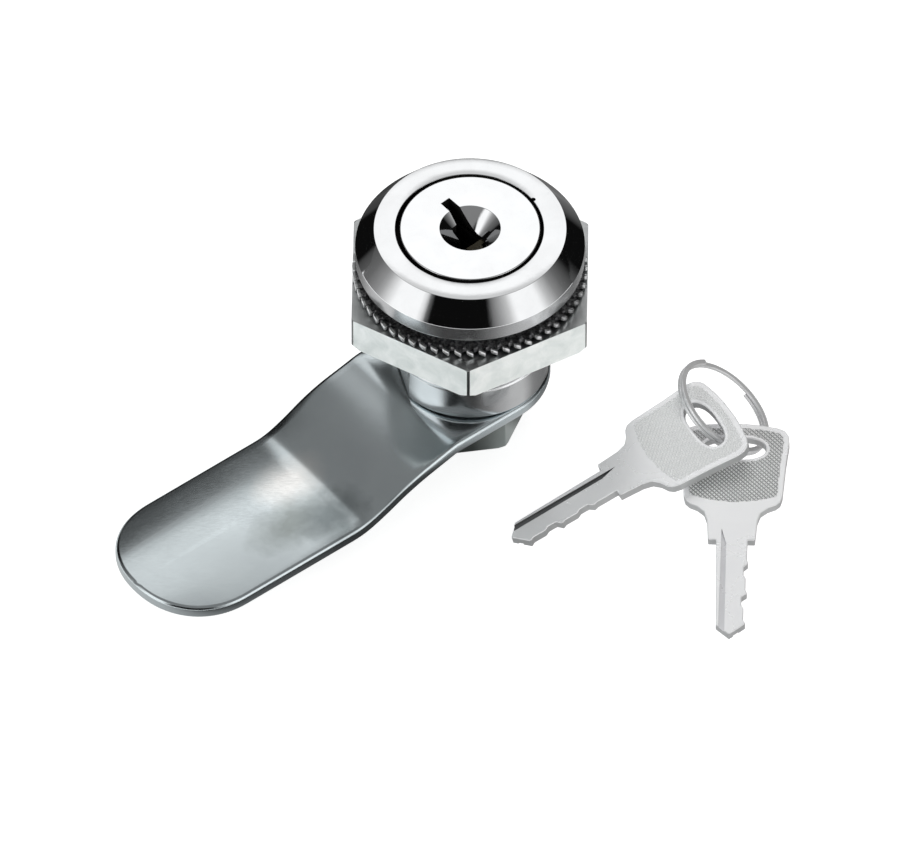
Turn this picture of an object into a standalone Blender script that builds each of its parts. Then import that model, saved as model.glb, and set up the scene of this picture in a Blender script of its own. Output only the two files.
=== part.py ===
"""Cam lock with a double-D threaded body, a cranked cam and two keys on a split ring.

The lock stands on the end of its cam nut. The origin is on the lock's axis at the
level it stands on, +Z points out of the face of the lock. Lengths are in metres.
"""

import math

import bmesh
import bpy
from mathutils import Matrix, Vector

MM = 0.001
TURN = 2 * math.pi

# Heights above the level the lock stands on
FACE_Z = 37.6 * MM
BEVEL_FOOT_Z = 34.3 * MM
SEAT_Z = 32.1 * MM
NUT_TOP_Z = 28.8 * MM
NUT_FOOT_Z = 23.4 * MM
BARREL_END_Z = 11.1 * MM
THREAD_TOP_Z = 31.3 * MM
THREAD_FOOT_Z = 16.9 * MM
CAM_TOP_Z = 10.8 * MM
CAM_FOOT_Z = 8.8 * MM

# Lock body
FACE_RADIUS = 13.05 * MM
FLANGE_RADIUS = 15.65 * MM
RECESS_RADIUS = 10.1 * MM
RECESS_FLOOR_Z = 35.5 * MM
BORE_RADIUS = 7.15 * MM
THREAD_MAJOR_RADIUS = 11.0 * MM
THREAD_ROOT_RADIUS = 10.15 * MM
THREAD_PITCH = 1.5 * MM
PILOT_RADIUS = 10.95 * MM
FLAT_FROM_AXIS = 9.8 * MM
FLAT_AZIMUTH = math.radians(14)
GROOVE_RADIUS = 8.2 * MM

# Plug
DISC_RADIUS = 9.6 * MM
CORE_RADIUS = 7.0 * MM
CORE_FOOT_Z = 12.8 * MM
CONE_RADIUS = 4.15 * MM
TAIL_HALF = 4.0 * MM
TAIL_CORNER_RADIUS = 5.0 * MM
STUD_MAJOR_RADIUS = 4.0 * MM
STUD_ROOT_RADIUS = 3.4 * MM
STUD_PITCH = 1.25 * MM
KEYWAY_AZIMUTH = math.radians(130.8)
KEYWAY_FOOT_Z = 19.0 * MM

# Wafers and their springs
WAFER_COUNT = 5
FIRST_WAFER_Z = 34.3 * MM
WAFER_PITCH = 2.5 * MM
WAFER_THICKNESS = 0.9 * MM
SLOT_HEIGHT = 1.1 * MM
BIT_DEPTHS = (0.4 * MM, 0.9 * MM, 0.5 * MM, 1.1 * MM, 0.7 * MM)
SPRING_OFFSET = -3.1 * MM

# Stop washer and its pocket in the end of the body
STOP_PLATE_RADIUS = 7.0 * MM
STOP_TAB_RADIUS = 8.3 * MM
STOP_TAB_START = math.radians(310)
STOP_TAB_SPAN = math.radians(40)
LOCK_TURN = math.radians(90)

# Cam
CAM_AZIMUTH = math.radians(218.5)
CAM_HALF_WIDTH = 11.0 * MM
CAM_THICKNESS = 2.0 * MM
CAM_TIP_CENTRE = 47.2 * MM
CAM_DROP = 6.1 * MM
CAM_EDGE_RADIUS = 0.6 * MM

# Nuts and washers
NUT_HALF_FLATS = 16.0 * MM
NUT_BORE_RADIUS = 11.15 * MM
CAM_NUT_HALF_FLATS = 6.5 * MM
CAM_NUT_HEIGHT = 6.5 * MM
CAM_NUT_BORE_RADIUS = 4.15 * MM
TOOTH_COUNT = 60
TOOTH_TIP_RADIUS = 15.85 * MM
TOOTH_ROOT_RADIUS = 15.05 * MM

# Keys and ring
KEY_LENGTH = 35.0 * MM
KEY_THICKNESS = 1.4 * MM
KEY_STOP = 15.65 * MM
BLADE_HALF = 3.0 * MM
# Per key: x and y of the tip, yaw, pitch, then where the ring's wire crosses it, along and across
KEY_PLACES = (
    (5.83, -23.64, 28.97, 12.56, 30.85, -1.45),
    (35.08, -41.52, 88.02, 7.35, 31.1, -0.15),
)
RING_CENTRE = (34.65, -3.68, 5.43)
RING_TILT = 37.8
RING_TILT_AZIMUTH = 5.9
RING_RADIUS = 7.3 * MM

MATERIALS = {
    "chrome": ((0.86, 0.87, 0.88), 1.0, 0.08),
    "zinc_plate": ((0.62, 0.66, 0.68), 1.0, 0.30),
    "pale_zinc": ((0.76, 0.78, 0.76), 1.0, 0.45),
    "dark_steel": ((0.16, 0.16, 0.17), 1.0, 0.40),
    "nickel": ((0.80, 0.80, 0.79), 1.0, 0.22),
    "brass": ((0.78, 0.60, 0.28), 1.0, 0.30),
    "spring_steel": ((0.55, 0.56, 0.58), 1.0, 0.30),
}


def clear_scene():
    for obj in list(bpy.data.objects):
        bpy.data.objects.remove(obj, do_unlink=True)


def polar(radius, angle, z=0.0):
    return Vector((radius * math.cos(angle), radius * math.sin(angle), z))


def make_material(node_name, kind):
    colour, metallic, roughness = MATERIALS[kind]
    material = bpy.data.materials.new(node_name)
    material.use_nodes = True
    shader = material.node_tree.nodes["Principled BSDF"]
    shader.inputs["Base Color"].default_value = (*colour, 1.0)
    shader.inputs["Metallic"].default_value = metallic
    shader.inputs["Roughness"].default_value = roughness
    material.diffuse_color = (*colour, 1.0)
    return material


def object_from(bm, name):
    """Object made from a bmesh, with its faces turned outwards."""
    bmesh.ops.recalc_face_normals(bm, faces=bm.faces)
    mesh = bpy.data.meshes.new(name)
    bm.to_mesh(mesh)
    bm.free()
    obj = bpy.data.objects.new(name, mesh)
    bpy.context.scene.collection.objects.link(obj)
    return obj


def revolved(name, profile, steps=72):
    """Solid turned about Z from a closed outline of (radius, z) points."""
    bm = bmesh.new()
    points = [bm.verts.new((r, 0.0, z)) for r, z in profile]
    edges = []
    for i, point in enumerate(points):
        following = points[(i + 1) % len(points)]
        if point.co.x > 0 or following.co.x > 0:
            edges.append(bm.edges.new((point, following)))
    bmesh.ops.spin(
        bm, geom=points + edges, axis=(0, 0, 1), cent=(0, 0, 0),
        angle=TURN, steps=steps, use_merge=True,
    )
    bmesh.ops.remove_doubles(bm, verts=bm.verts, dist=1e-6)
    return object_from(bm, name)


def prism(name, outline, low, high):
    """Straight solid over an outline of (x, y) points, from one height to another."""
    bm = bmesh.new()
    face = bm.faces.new([bm.verts.new((x, y, low)) for x, y in outline])
    raised = bmesh.ops.extrude_face_region(bm, geom=[face])
    moved = [item for item in raised["geom"] if isinstance(item, bmesh.types.BMVert)]
    bmesh.ops.translate(bm, verts=moved, vec=(0, 0, high - low))
    return object_from(bm, name)


def boxed(name, size, centre, turn=0.0):
    """Box of the given size, turned about Z through the origin after it is placed."""
    bm = bmesh.new()
    bmesh.ops.create_cube(bm, size=1.0)
    bmesh.ops.scale(bm, vec=size, verts=bm.verts)
    bmesh.ops.translate(bm, vec=centre, verts=bm.verts)
    bmesh.ops.rotate(bm, cent=(0, 0, 0), matrix=Matrix.Rotation(turn, 3, "Z"), verts=bm.verts)
    return object_from(bm, name)


def swept(name, frames, section):
    """Closed tube through (point, out, up) frames; the section is a list of (out, up) offsets."""
    bm = bmesh.new()
    rings = []
    for centre, out, up in frames:
        rings.append([bm.verts.new(centre + out * a + up * b) for a, b in section])
    count = len(section)
    for first, second in zip(rings, rings[1:]):
        for i in range(count):
            j = (i + 1) % count
            bm.faces.new((first[i], first[j], second[j], second[i]))
    bm.faces.new(rings[0])
    bm.faces.new(rings[-1])
    return object_from(bm, name)


def combine(obj, other, operation):
    """Exact Boolean of two solids; the second one is used up."""
    modifier = obj.modifiers.new(operation.lower(), "BOOLEAN")
    modifier.operation = operation
    modifier.solver = "EXACT"
    modifier.object = other
    settle(obj)
    bpy.data.objects.remove(other, do_unlink=True)
    return obj


def settle(obj):
    """Turns the modifiers of an object into plain mesh."""
    bpy.context.view_layer.update()
    evaluated = obj.evaluated_get(bpy.context.evaluated_depsgraph_get())
    mesh = bpy.data.meshes.new_from_object(evaluated)
    old = obj.data
    obj.modifiers.clear()
    obj.data = mesh
    bpy.data.meshes.remove(old)


def cut(obj, *others):
    for other in others:
        combine(obj, other, "DIFFERENCE")
    return obj


def joined(obj, *others):
    for other in others:
        combine(obj, other, "UNION")
    return obj


def finished(obj, kind, origin=(0, 0, 0), sharp_degrees=32):
    """Gives a sub-part its material, its shading and an origin on its joint axis."""
    obj.data.name = obj.name
    obj.data.materials.clear()
    obj.data.materials.append(make_material(obj.name, kind))
    obj.data.shade_smooth()
    obj.data.set_sharp_from_angle(angle=math.radians(sharp_degrees))
    shift = Vector(origin) - obj.location
    obj.data.transform(Matrix.Translation(-shift))
    obj.location = Vector(origin)
    return obj


def thread_ridge(name, root, major, pitch, low, high, steps):
    """Helical ridge of a 60 degree thread; its ends sink into the core."""
    height = major - root
    foot = 0.62 * height
    crest = 0.10 * pitch
    sunk = 0.35 * height
    turns = (high - low) / pitch
    count = int(turns * steps)
    section = ((-sunk, -foot), (0.0, -foot), (height, -crest), (height, crest), (0.0, foot), (-sunk, foot))
    bm = bmesh.new()
    rings = []
    for i in range(count + 1):
        share = i / count
        angle = share * turns * TURN
        fade = min(1.0, share * count / (0.35 * steps), (1 - share) * count / (0.35 * steps))
        base = polar(root, angle, low + share * (high - low))
        out = polar(1.0, angle)
        ring = []
        for a, b in section:
            lift = a if a <= 0 else a * fade - sunk * 0.5 * (1 - fade)
            ring.append(bm.verts.new(base + out * lift + Vector((0, 0, b))))
        rings.append(ring)
    for first, second in zip(rings, rings[1:]):
        for i in range(len(section)):
            j = (i + 1) % len(section)
            bm.faces.new((first[i], first[j], second[j], second[i]))
    bm.faces.new(rings[0])
    bm.faces.new(rings[-1])
    return object_from(bm, name)


def round_outline(radius, steps, start=0.0, span=TURN):
    whole = abs(span - TURN) < 1e-9
    count = steps if whole else steps + 1
    return [tuple(polar(radius, start + span * i / steps).xy) for i in range(count)]


def square_outline(half, corner_radius, turn):
    """Square with its corners turned round, as (x, y) points."""
    points = []
    reach = math.acos(half / corner_radius)
    for side in range(4):
        middle = side * TURN / 4
        points.append(tuple(polar(corner_radius, turn + middle - reach).xy))
        points.append(tuple(polar(corner_radius, turn + middle + reach).xy))
        points.append(tuple(polar(corner_radius, turn + middle + TURN / 8).xy))
    return points


def hex_outline(half_flats, turn):
    return [tuple(polar(half_flats / math.cos(math.pi / 6), turn + i * TURN / 6).xy) for i in range(6)]


def flat_sided_outline(radius, flat_from_axis, steps=40):
    """Circle with two opposite flats, whose normals are along FLAT_AZIMUTH."""
    reach = math.acos(flat_from_axis / radius)
    points = []
    for side in (0, 1):
        start = FLAT_AZIMUTH + reach + side * math.pi
        for i in range(steps + 1):
            points.append(tuple(polar(radius, start + (math.pi - 2 * reach) * i / steps).xy))
    return points


def along_keyway(s, q):
    """Plan point from distances along and across the keyway."""
    c, n = math.cos(KEYWAY_AZIMUTH), math.sin(KEYWAY_AZIMUTH)
    return (s * c + q * n, s * n - q * c)


def keyway_outline():
    """Slot with a narrow outer run and a wider inner run behind a ward."""
    shape = (
        (6.05, -0.05), (6.1, 1.50), (2.2, 1.52), (-0.6, 1.62), (-1.9, 1.50),
        (-1.6, 0.3), (-0.9, -0.35), (0.5, -0.85), (2.1, -1.25), (2.55, -1.1), (2.7, -0.15),
    )
    return [along_keyway(s * MM, q * MM) for s, q in shape]


def wafer_height(index):
    return FIRST_WAFER_Z - index * WAFER_PITCH


def build_housing():
    profile = (
        (RECESS_RADIUS, FACE_Z - 0.12 * MM), (RECESS_RADIUS + 0.12 * MM, FACE_Z),
        (FACE_RADIUS, FACE_Z), (FLANGE_RADIUS, BEVEL_FOOT_Z),
        (FLANGE_RADIUS, SEAT_Z + 0.3 * MM), (FLANGE_RADIUS - 0.3 * MM, SEAT_Z),
        (THREAD_ROOT_RADIUS, SEAT_Z), (THREAD_ROOT_RADIUS, THREAD_FOOT_Z - 0.3 * MM),
        (PILOT_RADIUS, THREAD_FOOT_Z - 1.1 * MM), (PILOT_RADIUS, BARREL_END_Z + 0.35 * MM),
        (PILOT_RADIUS - 0.35 * MM, BARREL_END_Z), (BORE_RADIUS, BARREL_END_Z),
        (BORE_RADIUS, RECESS_FLOOR_Z), (RECESS_RADIUS, RECESS_FLOOR_Z),
    )
    body = revolved("housing", profile)
    ridge = thread_ridge(
        "thread", THREAD_ROOT_RADIUS, THREAD_MAJOR_RADIUS, THREAD_PITCH,
        THREAD_FOOT_Z, THREAD_TOP_Z, 30,
    )
    joined(body, ridge)
    depth = 6 * MM
    for side in (0, 1):
        flat = boxed(
            "flat", (depth, 24 * MM, SEAT_Z - BARREL_END_Z + 4.8 * MM),
            (FLAT_FROM_AXIS + depth / 2, 0, (SEAT_Z + BARREL_END_Z - 5.2 * MM) / 2),
            FLAT_AZIMUTH + side * math.pi,
        )
        cut(body, flat)
    for turn in (0.0, -LOCK_TURN):
        cut(body, wafer_groove(KEYWAY_AZIMUTH + turn))
    span = STOP_TAB_SPAN + LOCK_TURN + math.radians(2)
    start = STOP_TAB_START - LOCK_TURN - math.radians(1)
    sector = round_outline(STOP_TAB_RADIUS + 0.3 * MM, 28, start, span) + [(0.0, 0.0)]
    cut(body, prism("stop_pocket", sector, BARREL_END_Z - 1 * MM, CORE_FOOT_Z + 0.2 * MM))
    return finished(body, "chrome")


def wafer_groove(azimuth):
    """Cutter for one groove of the bore, where the ends of the wafers drop in."""
    low, high = -4.4 * MM, 3.7 * MM
    points = []
    for i in range(9):
        q = low + (high - low) * i / 8
        s = math.sqrt(GROOVE_RADIUS ** 2 - q * q)
        points.append((s, q))
    points += [(3.0 * MM, high), (3.0 * MM, low)]
    c, n = math.cos(azimuth), math.sin(azimuth)
    plan = [(s * c + q * n, s * n - q * c) for s, q in points]
    foot = wafer_height(WAFER_COUNT - 1) - 1.1 * MM
    return prism("groove", plan, foot, FIRST_WAFER_Z + 0.8 * MM)


def build_plug():
    profile = (
        (0.0, FACE_Z - 3.0 * MM), (1.15 * MM, FACE_Z - 3.0 * MM), (CONE_RADIUS, FACE_Z),
        (DISC_RADIUS - 0.15 * MM, FACE_Z), (DISC_RADIUS, FACE_Z - 0.15 * MM),
        (DISC_RADIUS, RECESS_FLOOR_Z + 0.15 * MM), (CORE_RADIUS, RECESS_FLOOR_Z + 0.15 * MM),
        (CORE_RADIUS, CORE_FOOT_Z), (STUD_ROOT_RADIUS, CORE_FOOT_Z),
        (STUD_ROOT_RADIUS, 0.0), (0.0, 0.0),
    )
    plug = revolved("plug", profile, 60)
    tail = square_outline(TAIL_HALF, TAIL_CORNER_RADIUS, CAM_AZIMUTH)
    joined(plug, prism("tail", tail, CAM_FOOT_Z + 0.15 * MM, CORE_FOOT_Z + 0.5 * MM))
    ridge = thread_ridge(
        "stud_thread", STUD_ROOT_RADIUS, STUD_MAJOR_RADIUS, STUD_PITCH,
        1.2 * MM, CAM_FOOT_Z - 0.6 * MM, 20,
    )
    joined(plug, ridge)
    cut(plug, prism("keyway", keyway_outline(), KEYWAY_FOOT_Z, FACE_Z + 1 * MM))
    for i in range(WAFER_COUNT):
        z = wafer_height(i)
        slot = [(7.6, -4.3), (7.6, 3.6), (-7.6, 3.6), (-7.6, -4.3)]
        plan = [along_keyway(s * MM, q * MM) for s, q in slot]
        cut(plug, prism("slot", plan, z - SLOT_HEIGHT / 2, z + SLOT_HEIGHT / 2))
        cut(plug, spring_pocket(z))
    return finished(plug, "chrome", (0, 0, FACE_Z))


def spring_pocket(z):
    """Cutter for the round pocket that holds one wafer spring."""
    bm = bmesh.new()
    bmesh.ops.create_cone(
        bm, cap_ends=True, segments=12, radius1=0.85 * MM, radius2=0.85 * MM, depth=6.8 * MM
    )
    turn = Matrix.Rotation(KEYWAY_AZIMUTH, 3, "Z") @ Matrix.Rotation(math.pi / 2, 3, "Y")
    bmesh.ops.rotate(bm, cent=(0, 0, 0), matrix=turn, verts=bm.verts)
    x, y = along_keyway(-1.4 * MM, SPRING_OFFSET)
    bmesh.ops.translate(bm, vec=(x, y, z), verts=bm.verts)
    return object_from(bm, "pocket")


def build_wafer(index):
    """Thin plate with a window for the key blade and a lug that its spring pushes on."""
    z = wafer_height(index)
    low, high, reach = -4.15 * MM, 3.45 * MM, 6.9 * MM
    step = -2.1 * MM
    across = [low + (high - low) * i / 6 for i in range(7)]
    outer = [(math.sqrt(reach ** 2 - q * q), q) for q in across]
    inner = [(-s, q) for s, q in reversed(outer) if q > step]
    lug = [(-math.sqrt(reach ** 2 - step ** 2), step), (0.75 * MM, step), (0.75 * MM, low)]
    plan = [along_keyway(s, q) for s, q in outer + inner + lug]
    wafer = prism(f"wafer_{index + 1}", plan, z - WAFER_THICKNESS / 2, z + WAFER_THICKNESS / 2)
    edge = -0.95 * MM + BIT_DEPTHS[index]
    window = [(edge, -1.35 * MM), (5.6 * MM, -1.35 * MM), (5.6 * MM, 1.75 * MM), (edge, 1.75 * MM)]
    plan = [along_keyway(s, q) for s, q in window]
    cut(wafer, prism("window", plan, z - 1 * MM, z + 1 * MM))
    return finished(wafer, "brass", (0, 0, z))


def build_wafer_spring(index):
    """Small coil that lies along the keyway and pushes its wafer outwards."""
    z = wafer_height(index)
    axis = polar(1.0, KEYWAY_AZIMUTH)
    side = axis.cross(Vector((0, 0, 1)))
    start, length = -4.6 * MM, 5.1 * MM
    turns, steps, coil, wire = 5, 8, 0.55 * MM, 0.12 * MM
    x, y = along_keyway(0.0, SPRING_OFFSET)
    frames = []
    for i in range(turns * steps + 1):
        angle = i / steps * TURN
        out = side * math.cos(angle) + Vector((0, 0, 1)) * math.sin(angle)
        place = start + 0.15 * MM + (length - 0.3 * MM) * i / (turns * steps)
        centre = Vector((x, y, z)) + axis * place + out * coil
        frames.append((centre, out, axis))
    section = [(wire * math.cos(TURN * k / 4), wire * math.sin(TURN * k / 4)) for k in range(4)]
    spring = swept(f"wafer_spring_{index + 1}", frames, section)
    return finished(spring, "spring_steel", (0, 0, z), 80)


def build_stop_washer():
    """Washer keyed on the square tail, with the tab that limits the turn."""
    rim_start = STOP_TAB_START + STOP_TAB_SPAN
    outline = round_outline(STOP_PLATE_RADIUS, 40, rim_start, TURN - STOP_TAB_SPAN)
    outline += round_outline(STOP_TAB_RADIUS, 6, STOP_TAB_START, STOP_TAB_SPAN)
    plate = prism("stop_washer", outline, BARREL_END_Z + 0.25 * MM, CORE_FOOT_Z - 0.15 * MM)
    hole = square_outline(TAIL_HALF + 0.12 * MM, TAIL_CORNER_RADIUS + 0.12 * MM, CAM_AZIMUTH)
    cut(plate, prism("hole", hole, BARREL_END_Z - 1 * MM, CORE_FOOT_Z + 1 * MM))
    return finished(plate, "zinc_plate")


def cam_outline():
    """Plan of the cam along its own length: round base, straight sides, rounded tip."""
    points = []
    for i in range(25):
        angle = math.pi / 2 + math.pi * i / 24
        points.append((CAM_HALF_WIDTH * math.cos(angle), CAM_HALF_WIDTH * math.sin(angle)))
    for i in range(29):
        angle = -math.pi / 2 + math.pi * i / 28
        c, n = math.cos(angle), math.sin(angle)
        x = CAM_TIP_CENTRE + CAM_HALF_WIDTH * math.copysign(abs(c) ** 0.93, c)
        points.append((x, CAM_HALF_WIDTH * math.copysign(abs(n) ** 0.93, n)))
    return points


def cam_slope(u):
    """Fall of the cam per unit of length at a distance along it."""
    steps = ((10.5, 0.0), (13.0, 0.235), (20.5, 0.30), (24.0, 0.345), (27.0, 0.30), (32.5, 0.0))
    if u <= steps[0][0] * MM or u >= steps[-1][0] * MM:
        return 0.0
    for (u0, g0), (u1, g1) in zip(steps, steps[1:]):
        if u <= u1 * MM:
            share = (u - u0 * MM) / ((u1 - u0) * MM)
            share = share * share * (3 - 2 * share)
            return g0 + (g1 - g0) * share
    return 0.0


def cam_fall_table(count=240, reach=60 * MM):
    total = 0.0
    table = [0.0]
    for i in range(count):
        total += cam_slope((i + 0.5) * reach / count) * reach / count
        table.append(total)
    return [value * CAM_DROP / total for value in table], reach / count


def bent_point(point, table, step):
    """Moves a point of the flat blank onto the cranked cam."""
    place = max(0.0, point.x) / step
    i = min(int(place), len(table) - 2)
    fall = table[i] + (table[i + 1] - table[i]) * (place - i)
    slope = math.atan((table[i + 1] - table[i]) / step) if point.x > 0 else 0.0
    middle = point.z - CAM_THICKNESS / 2
    x = point.x + middle * math.sin(slope)
    return Vector((x, point.y, CAM_THICKNESS / 2 - fall + middle * math.cos(slope)))


def build_cam():
    blank = prism("cam", cam_outline(), 0.0, CAM_THICKNESS)
    rounding = blank.modifiers.new("edge", "BEVEL")
    rounding.width = CAM_EDGE_RADIUS
    rounding.segments = 2
    rounding.limit_method = "ANGLE"
    rounding.angle_limit = math.radians(60)
    settle(blank)
    hole = square_outline(TAIL_HALF + 0.12 * MM, TAIL_CORNER_RADIUS + 0.12 * MM, 0.0)
    cut(blank, prism("hole", hole, -1 * MM, CAM_THICKNESS + 1 * MM))
    bm = bmesh.new()
    bm.from_mesh(blank.data)
    cuts = [10.5, 11.3, 12.1, 13.0, 14.5, 17, 20, 22, 24, 25.5, 27, 28.5, 30, 31.2, 32.5]
    for u in cuts:
        everything = bm.verts[:] + bm.edges[:] + bm.faces[:]
        bmesh.ops.bisect_plane(bm, geom=everything, plane_co=(u * MM, 0, 0), plane_no=(1, 0, 0))
    table, step = cam_fall_table()
    for vert in bm.verts:
        vert.co = bent_point(vert.co, table, step)
    bmesh.ops.rotate(bm, cent=(0, 0, 0), matrix=Matrix.Rotation(CAM_AZIMUTH, 3, "Z"), verts=bm.verts)
    bmesh.ops.translate(bm, vec=(0, 0, CAM_FOOT_Z), verts=bm.verts)
    bpy.data.objects.remove(blank, do_unlink=True)
    return finished(object_from(bm, "cam"), "zinc_plate", (0, 0, CAM_FOOT_Z), 40)


def build_spring_washer():
    """Split washer: one coil of square section, its two ends a little apart."""
    low, rise, inner, outer, thick = CAM_NUT_HEIGHT + 0.2 * MM, 0.25 * MM, 4.3 * MM, 6.8 * MM, 1.6 * MM
    count, start, span = 36, math.radians(250), math.radians(346)
    frames = []
    for i in range(count + 1):
        angle = start + span * i / count
        centre = polar((inner + outer) / 2, angle, low + thick / 2 + rise * i / count)
        frames.append((centre, polar(1.0, angle), Vector((0, 0, 1))))
    half, up = (outer - inner) / 2, thick / 2
    section = ((-half, -up), (half, -up), (half, up), (-half, up))
    return finished(swept("spring_washer", frames, section), "zinc_plate")


def chamfered_nut(name, half_flats, turn, low, high, bore, chamfers, steps):
    """Hexagonal nut; chamfers holds (height, run) at the low and at the high end."""
    nut = prism(name, hex_outline(half_flats, turn), low, high)
    corner = half_flats / math.cos(math.pi / 6) + 0.3 * MM
    (low_h, low_run), (high_h, high_run) = chamfers
    profile = [
        (0.0, low), (corner - low_run, low), (corner, low + low_h),
        (corner, high - high_h), (corner - high_run, high), (0.0, high),
    ]
    grown = [(r, z + (0.5 * MM if z >= high else -0.5 * MM if z <= low else 0.0)) for r, z in profile]
    if high_h <= 0:
        grown = [p for i, p in enumerate(grown) if i != 4]
        grown[3] = (corner, high + 0.5 * MM)
    combine(nut, revolved("turned", grown, steps), "INTERSECT")
    lead = 0.55 * MM
    hole = (
        (0.0, low - 1 * MM), (bore + lead + 1 * MM, low - 1 * MM), (bore, low + lead),
        (bore, high - lead), (bore + lead + 1 * MM, high + 1 * MM), (0.0, high + 1 * MM),
    )
    return cut(nut, revolved("bore", hole, steps))


def build_mounting_nut():
    nut = chamfered_nut(
        "mounting_nut", NUT_HALF_FLATS, math.radians(-90.9), NUT_FOOT_Z, NUT_TOP_Z,
        NUT_BORE_RADIUS, ((1.6 * MM, 1.6 * MM), (0.5 * MM, 0.7 * MM)), 72,
    )
    return finished(nut, "pale_zinc", (0, 0, NUT_FOOT_Z), 20)


def build_cam_nut():
    nut = chamfered_nut(
        "cam_nut", CAM_NUT_HALF_FLATS, math.radians(10.3), 0.0, CAM_NUT_HEIGHT,
        CAM_NUT_BORE_RADIUS, ((0.5 * MM, 0.75 * MM), (0.9 * MM, 1.3 * MM)), 48,
    )
    return finished(nut, "zinc_plate", (0, 0, 0), 20)


def build_lock_washer():
    """Flat ring keyed on the two flats of the barrel, with twisted teeth round its rim."""
    low, high, twist = NUT_TOP_Z + 0.45 * MM, NUT_TOP_Z + 1.15 * MM, 0.32 * MM
    bm = bmesh.new()
    step = TURN / TOOTH_COUNT
    rim = []
    for i in range(TOOTH_COUNT):
        middle = i * step
        rim.append((TOOTH_ROOT_RADIUS, middle - 0.30 * step, 0.0))
        rim.append((TOOTH_TIP_RADIUS, middle - 0.20 * step, twist))
        rim.append((TOOTH_TIP_RADIUS, middle + 0.20 * step, -twist))
        rim.append((TOOTH_ROOT_RADIUS, middle + 0.30 * step, 0.0))
    top = [bm.verts.new(polar(r, a, high + tilt)) for r, a, tilt in rim]
    foot = [bm.verts.new(polar(r, a, low + tilt)) for r, a, tilt in rim]
    inner = 14.2 * MM
    top_in = [bm.verts.new(polar(inner, i * step, high)) for i in range(TOOTH_COUNT)]
    foot_in = [bm.verts.new(polar(inner, i * step, low)) for i in range(TOOTH_COUNT)]
    for i in range(TOOTH_COUNT):
        k = (i + 1) % TOOTH_COUNT
        for outer, ring in ((top, top_in), (foot, foot_in)):
            tooth = outer[4 * i:4 * i + 4]
            bm.faces.new((tooth[0], tooth[1], tooth[2], tooth[3]))
            bm.faces.new((ring[i], tooth[0], tooth[3]))
            bm.faces.new((ring[i], tooth[3], outer[4 * k], ring[k]))
        bm.faces.new((top_in[i], top_in[k], foot_in[k], foot_in[i]))
        for j in range(4):
            m, n = 4 * i + j, (4 * i + j + 1) % len(rim)
            bm.faces.new((top[m], top[n], foot[n], foot[m]))
    ring = object_from(bm, "lock_washer")
    plate = prism("plate", round_outline(14.6 * MM, TOOTH_COUNT), low, high)
    joined(ring, plate)
    hole = flat_sided_outline(NUT_BORE_RADIUS + 0.05 * MM, FLAT_FROM_AXIS + 0.15 * MM)
    cut(ring, prism("hole", hole, low - 1 * MM, high + 1 * MM))
    return finished(ring, "dark_steel", (0, 0, low))


def key_outline():
    """Plan of a key from its tip, the bits on the side below the blade's middle line."""
    back = [
        (0.0, -0.1), (1.6, 1.75), (15.65, 2.1), (15.65, 3.2), (19.0, 3.45), (20.3, 3.85),
        (21.1, 4.8), (21.6, 5.9), (22.2, 6.5), (23.2, 6.75), (28.5, 7.1),
        (32.0, 7.45), (33.2, 7.3), (34.0, 6.75), (34.4, 5.9), (34.8, 3.8), (35.0, 1.6), (35.0, -1.6),
    ]
    bits = []
    for i, depth in enumerate(BIT_DEPTHS):
        place = 13.0 - 2.5 * i
        d = depth / MM
        bits.append((place + 0.75, -2.55 + 0.84 * d))
        bits.append((place - 0.55, -2.55 + 0.86 * d))
        bits.append((place - 1.15, -2.55 + max(0.15, 0.86 * d - 0.35)))
    front = [(x, -y) for x, y in back[3:-2]]
    front = front[::-1] + [(15.65, -2.2), (14.6, -2.2)]
    tip = [(0.7, -0.95)]
    return [(x * MM, y * MM) for x, y in back + front + bits + tip]


def key_hole_outline():
    points = []
    for i in range(28):
        angle = TURN * i / 28
        c, n = math.cos(angle), math.sin(angle)
        x = 30.9 + 1.85 * math.copysign(abs(c) ** 0.9, c)
        y = 4.3 * math.copysign(abs(n) ** 0.75, n)
        points.append((x * MM, y * MM))
    return points


def key_pose(index):
    x, y, yaw, pitch = KEY_PLACES[index][:4]
    turn = Matrix.Rotation(math.radians(yaw), 4, "Z") @ Matrix.Rotation(-math.radians(pitch), 4, "Y")
    return Matrix.Translation((x * MM, y * MM, 0.03 * MM)) @ turn


def build_key(index):
    key = prism(f"key_{index + 1}", key_outline(), 0.0, KEY_THICKNESS)
    cut(key, prism("key_hole", key_hole_outline(), -1 * MM, KEY_THICKNESS + 1 * MM))
    for low, high, top in ((0.6, 1.35, True), (-1.4, -0.65, False)):
        edge = KEY_THICKNESS - 0.35 * MM if top else 0.35 * MM
        far = KEY_THICKNESS + 1 * MM if top else -1 * MM
        width = (high - low) * MM
        groove = boxed(
            "groove", (22 * MM, width, abs(far - edge)),
            (9.0 * MM - 2.5 * MM, (low + high) / 2 * MM, (far + edge) / 2),
        )
        cut(key, groove)
    key.data.transform(key_pose(index))
    crossing = KEY_PLACES[index][4:]
    pivot = key_pose(index) @ Vector((crossing[0] * MM, crossing[1] * MM, KEY_THICKNESS / 2))
    return finished(key, "nickel", pivot)


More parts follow.
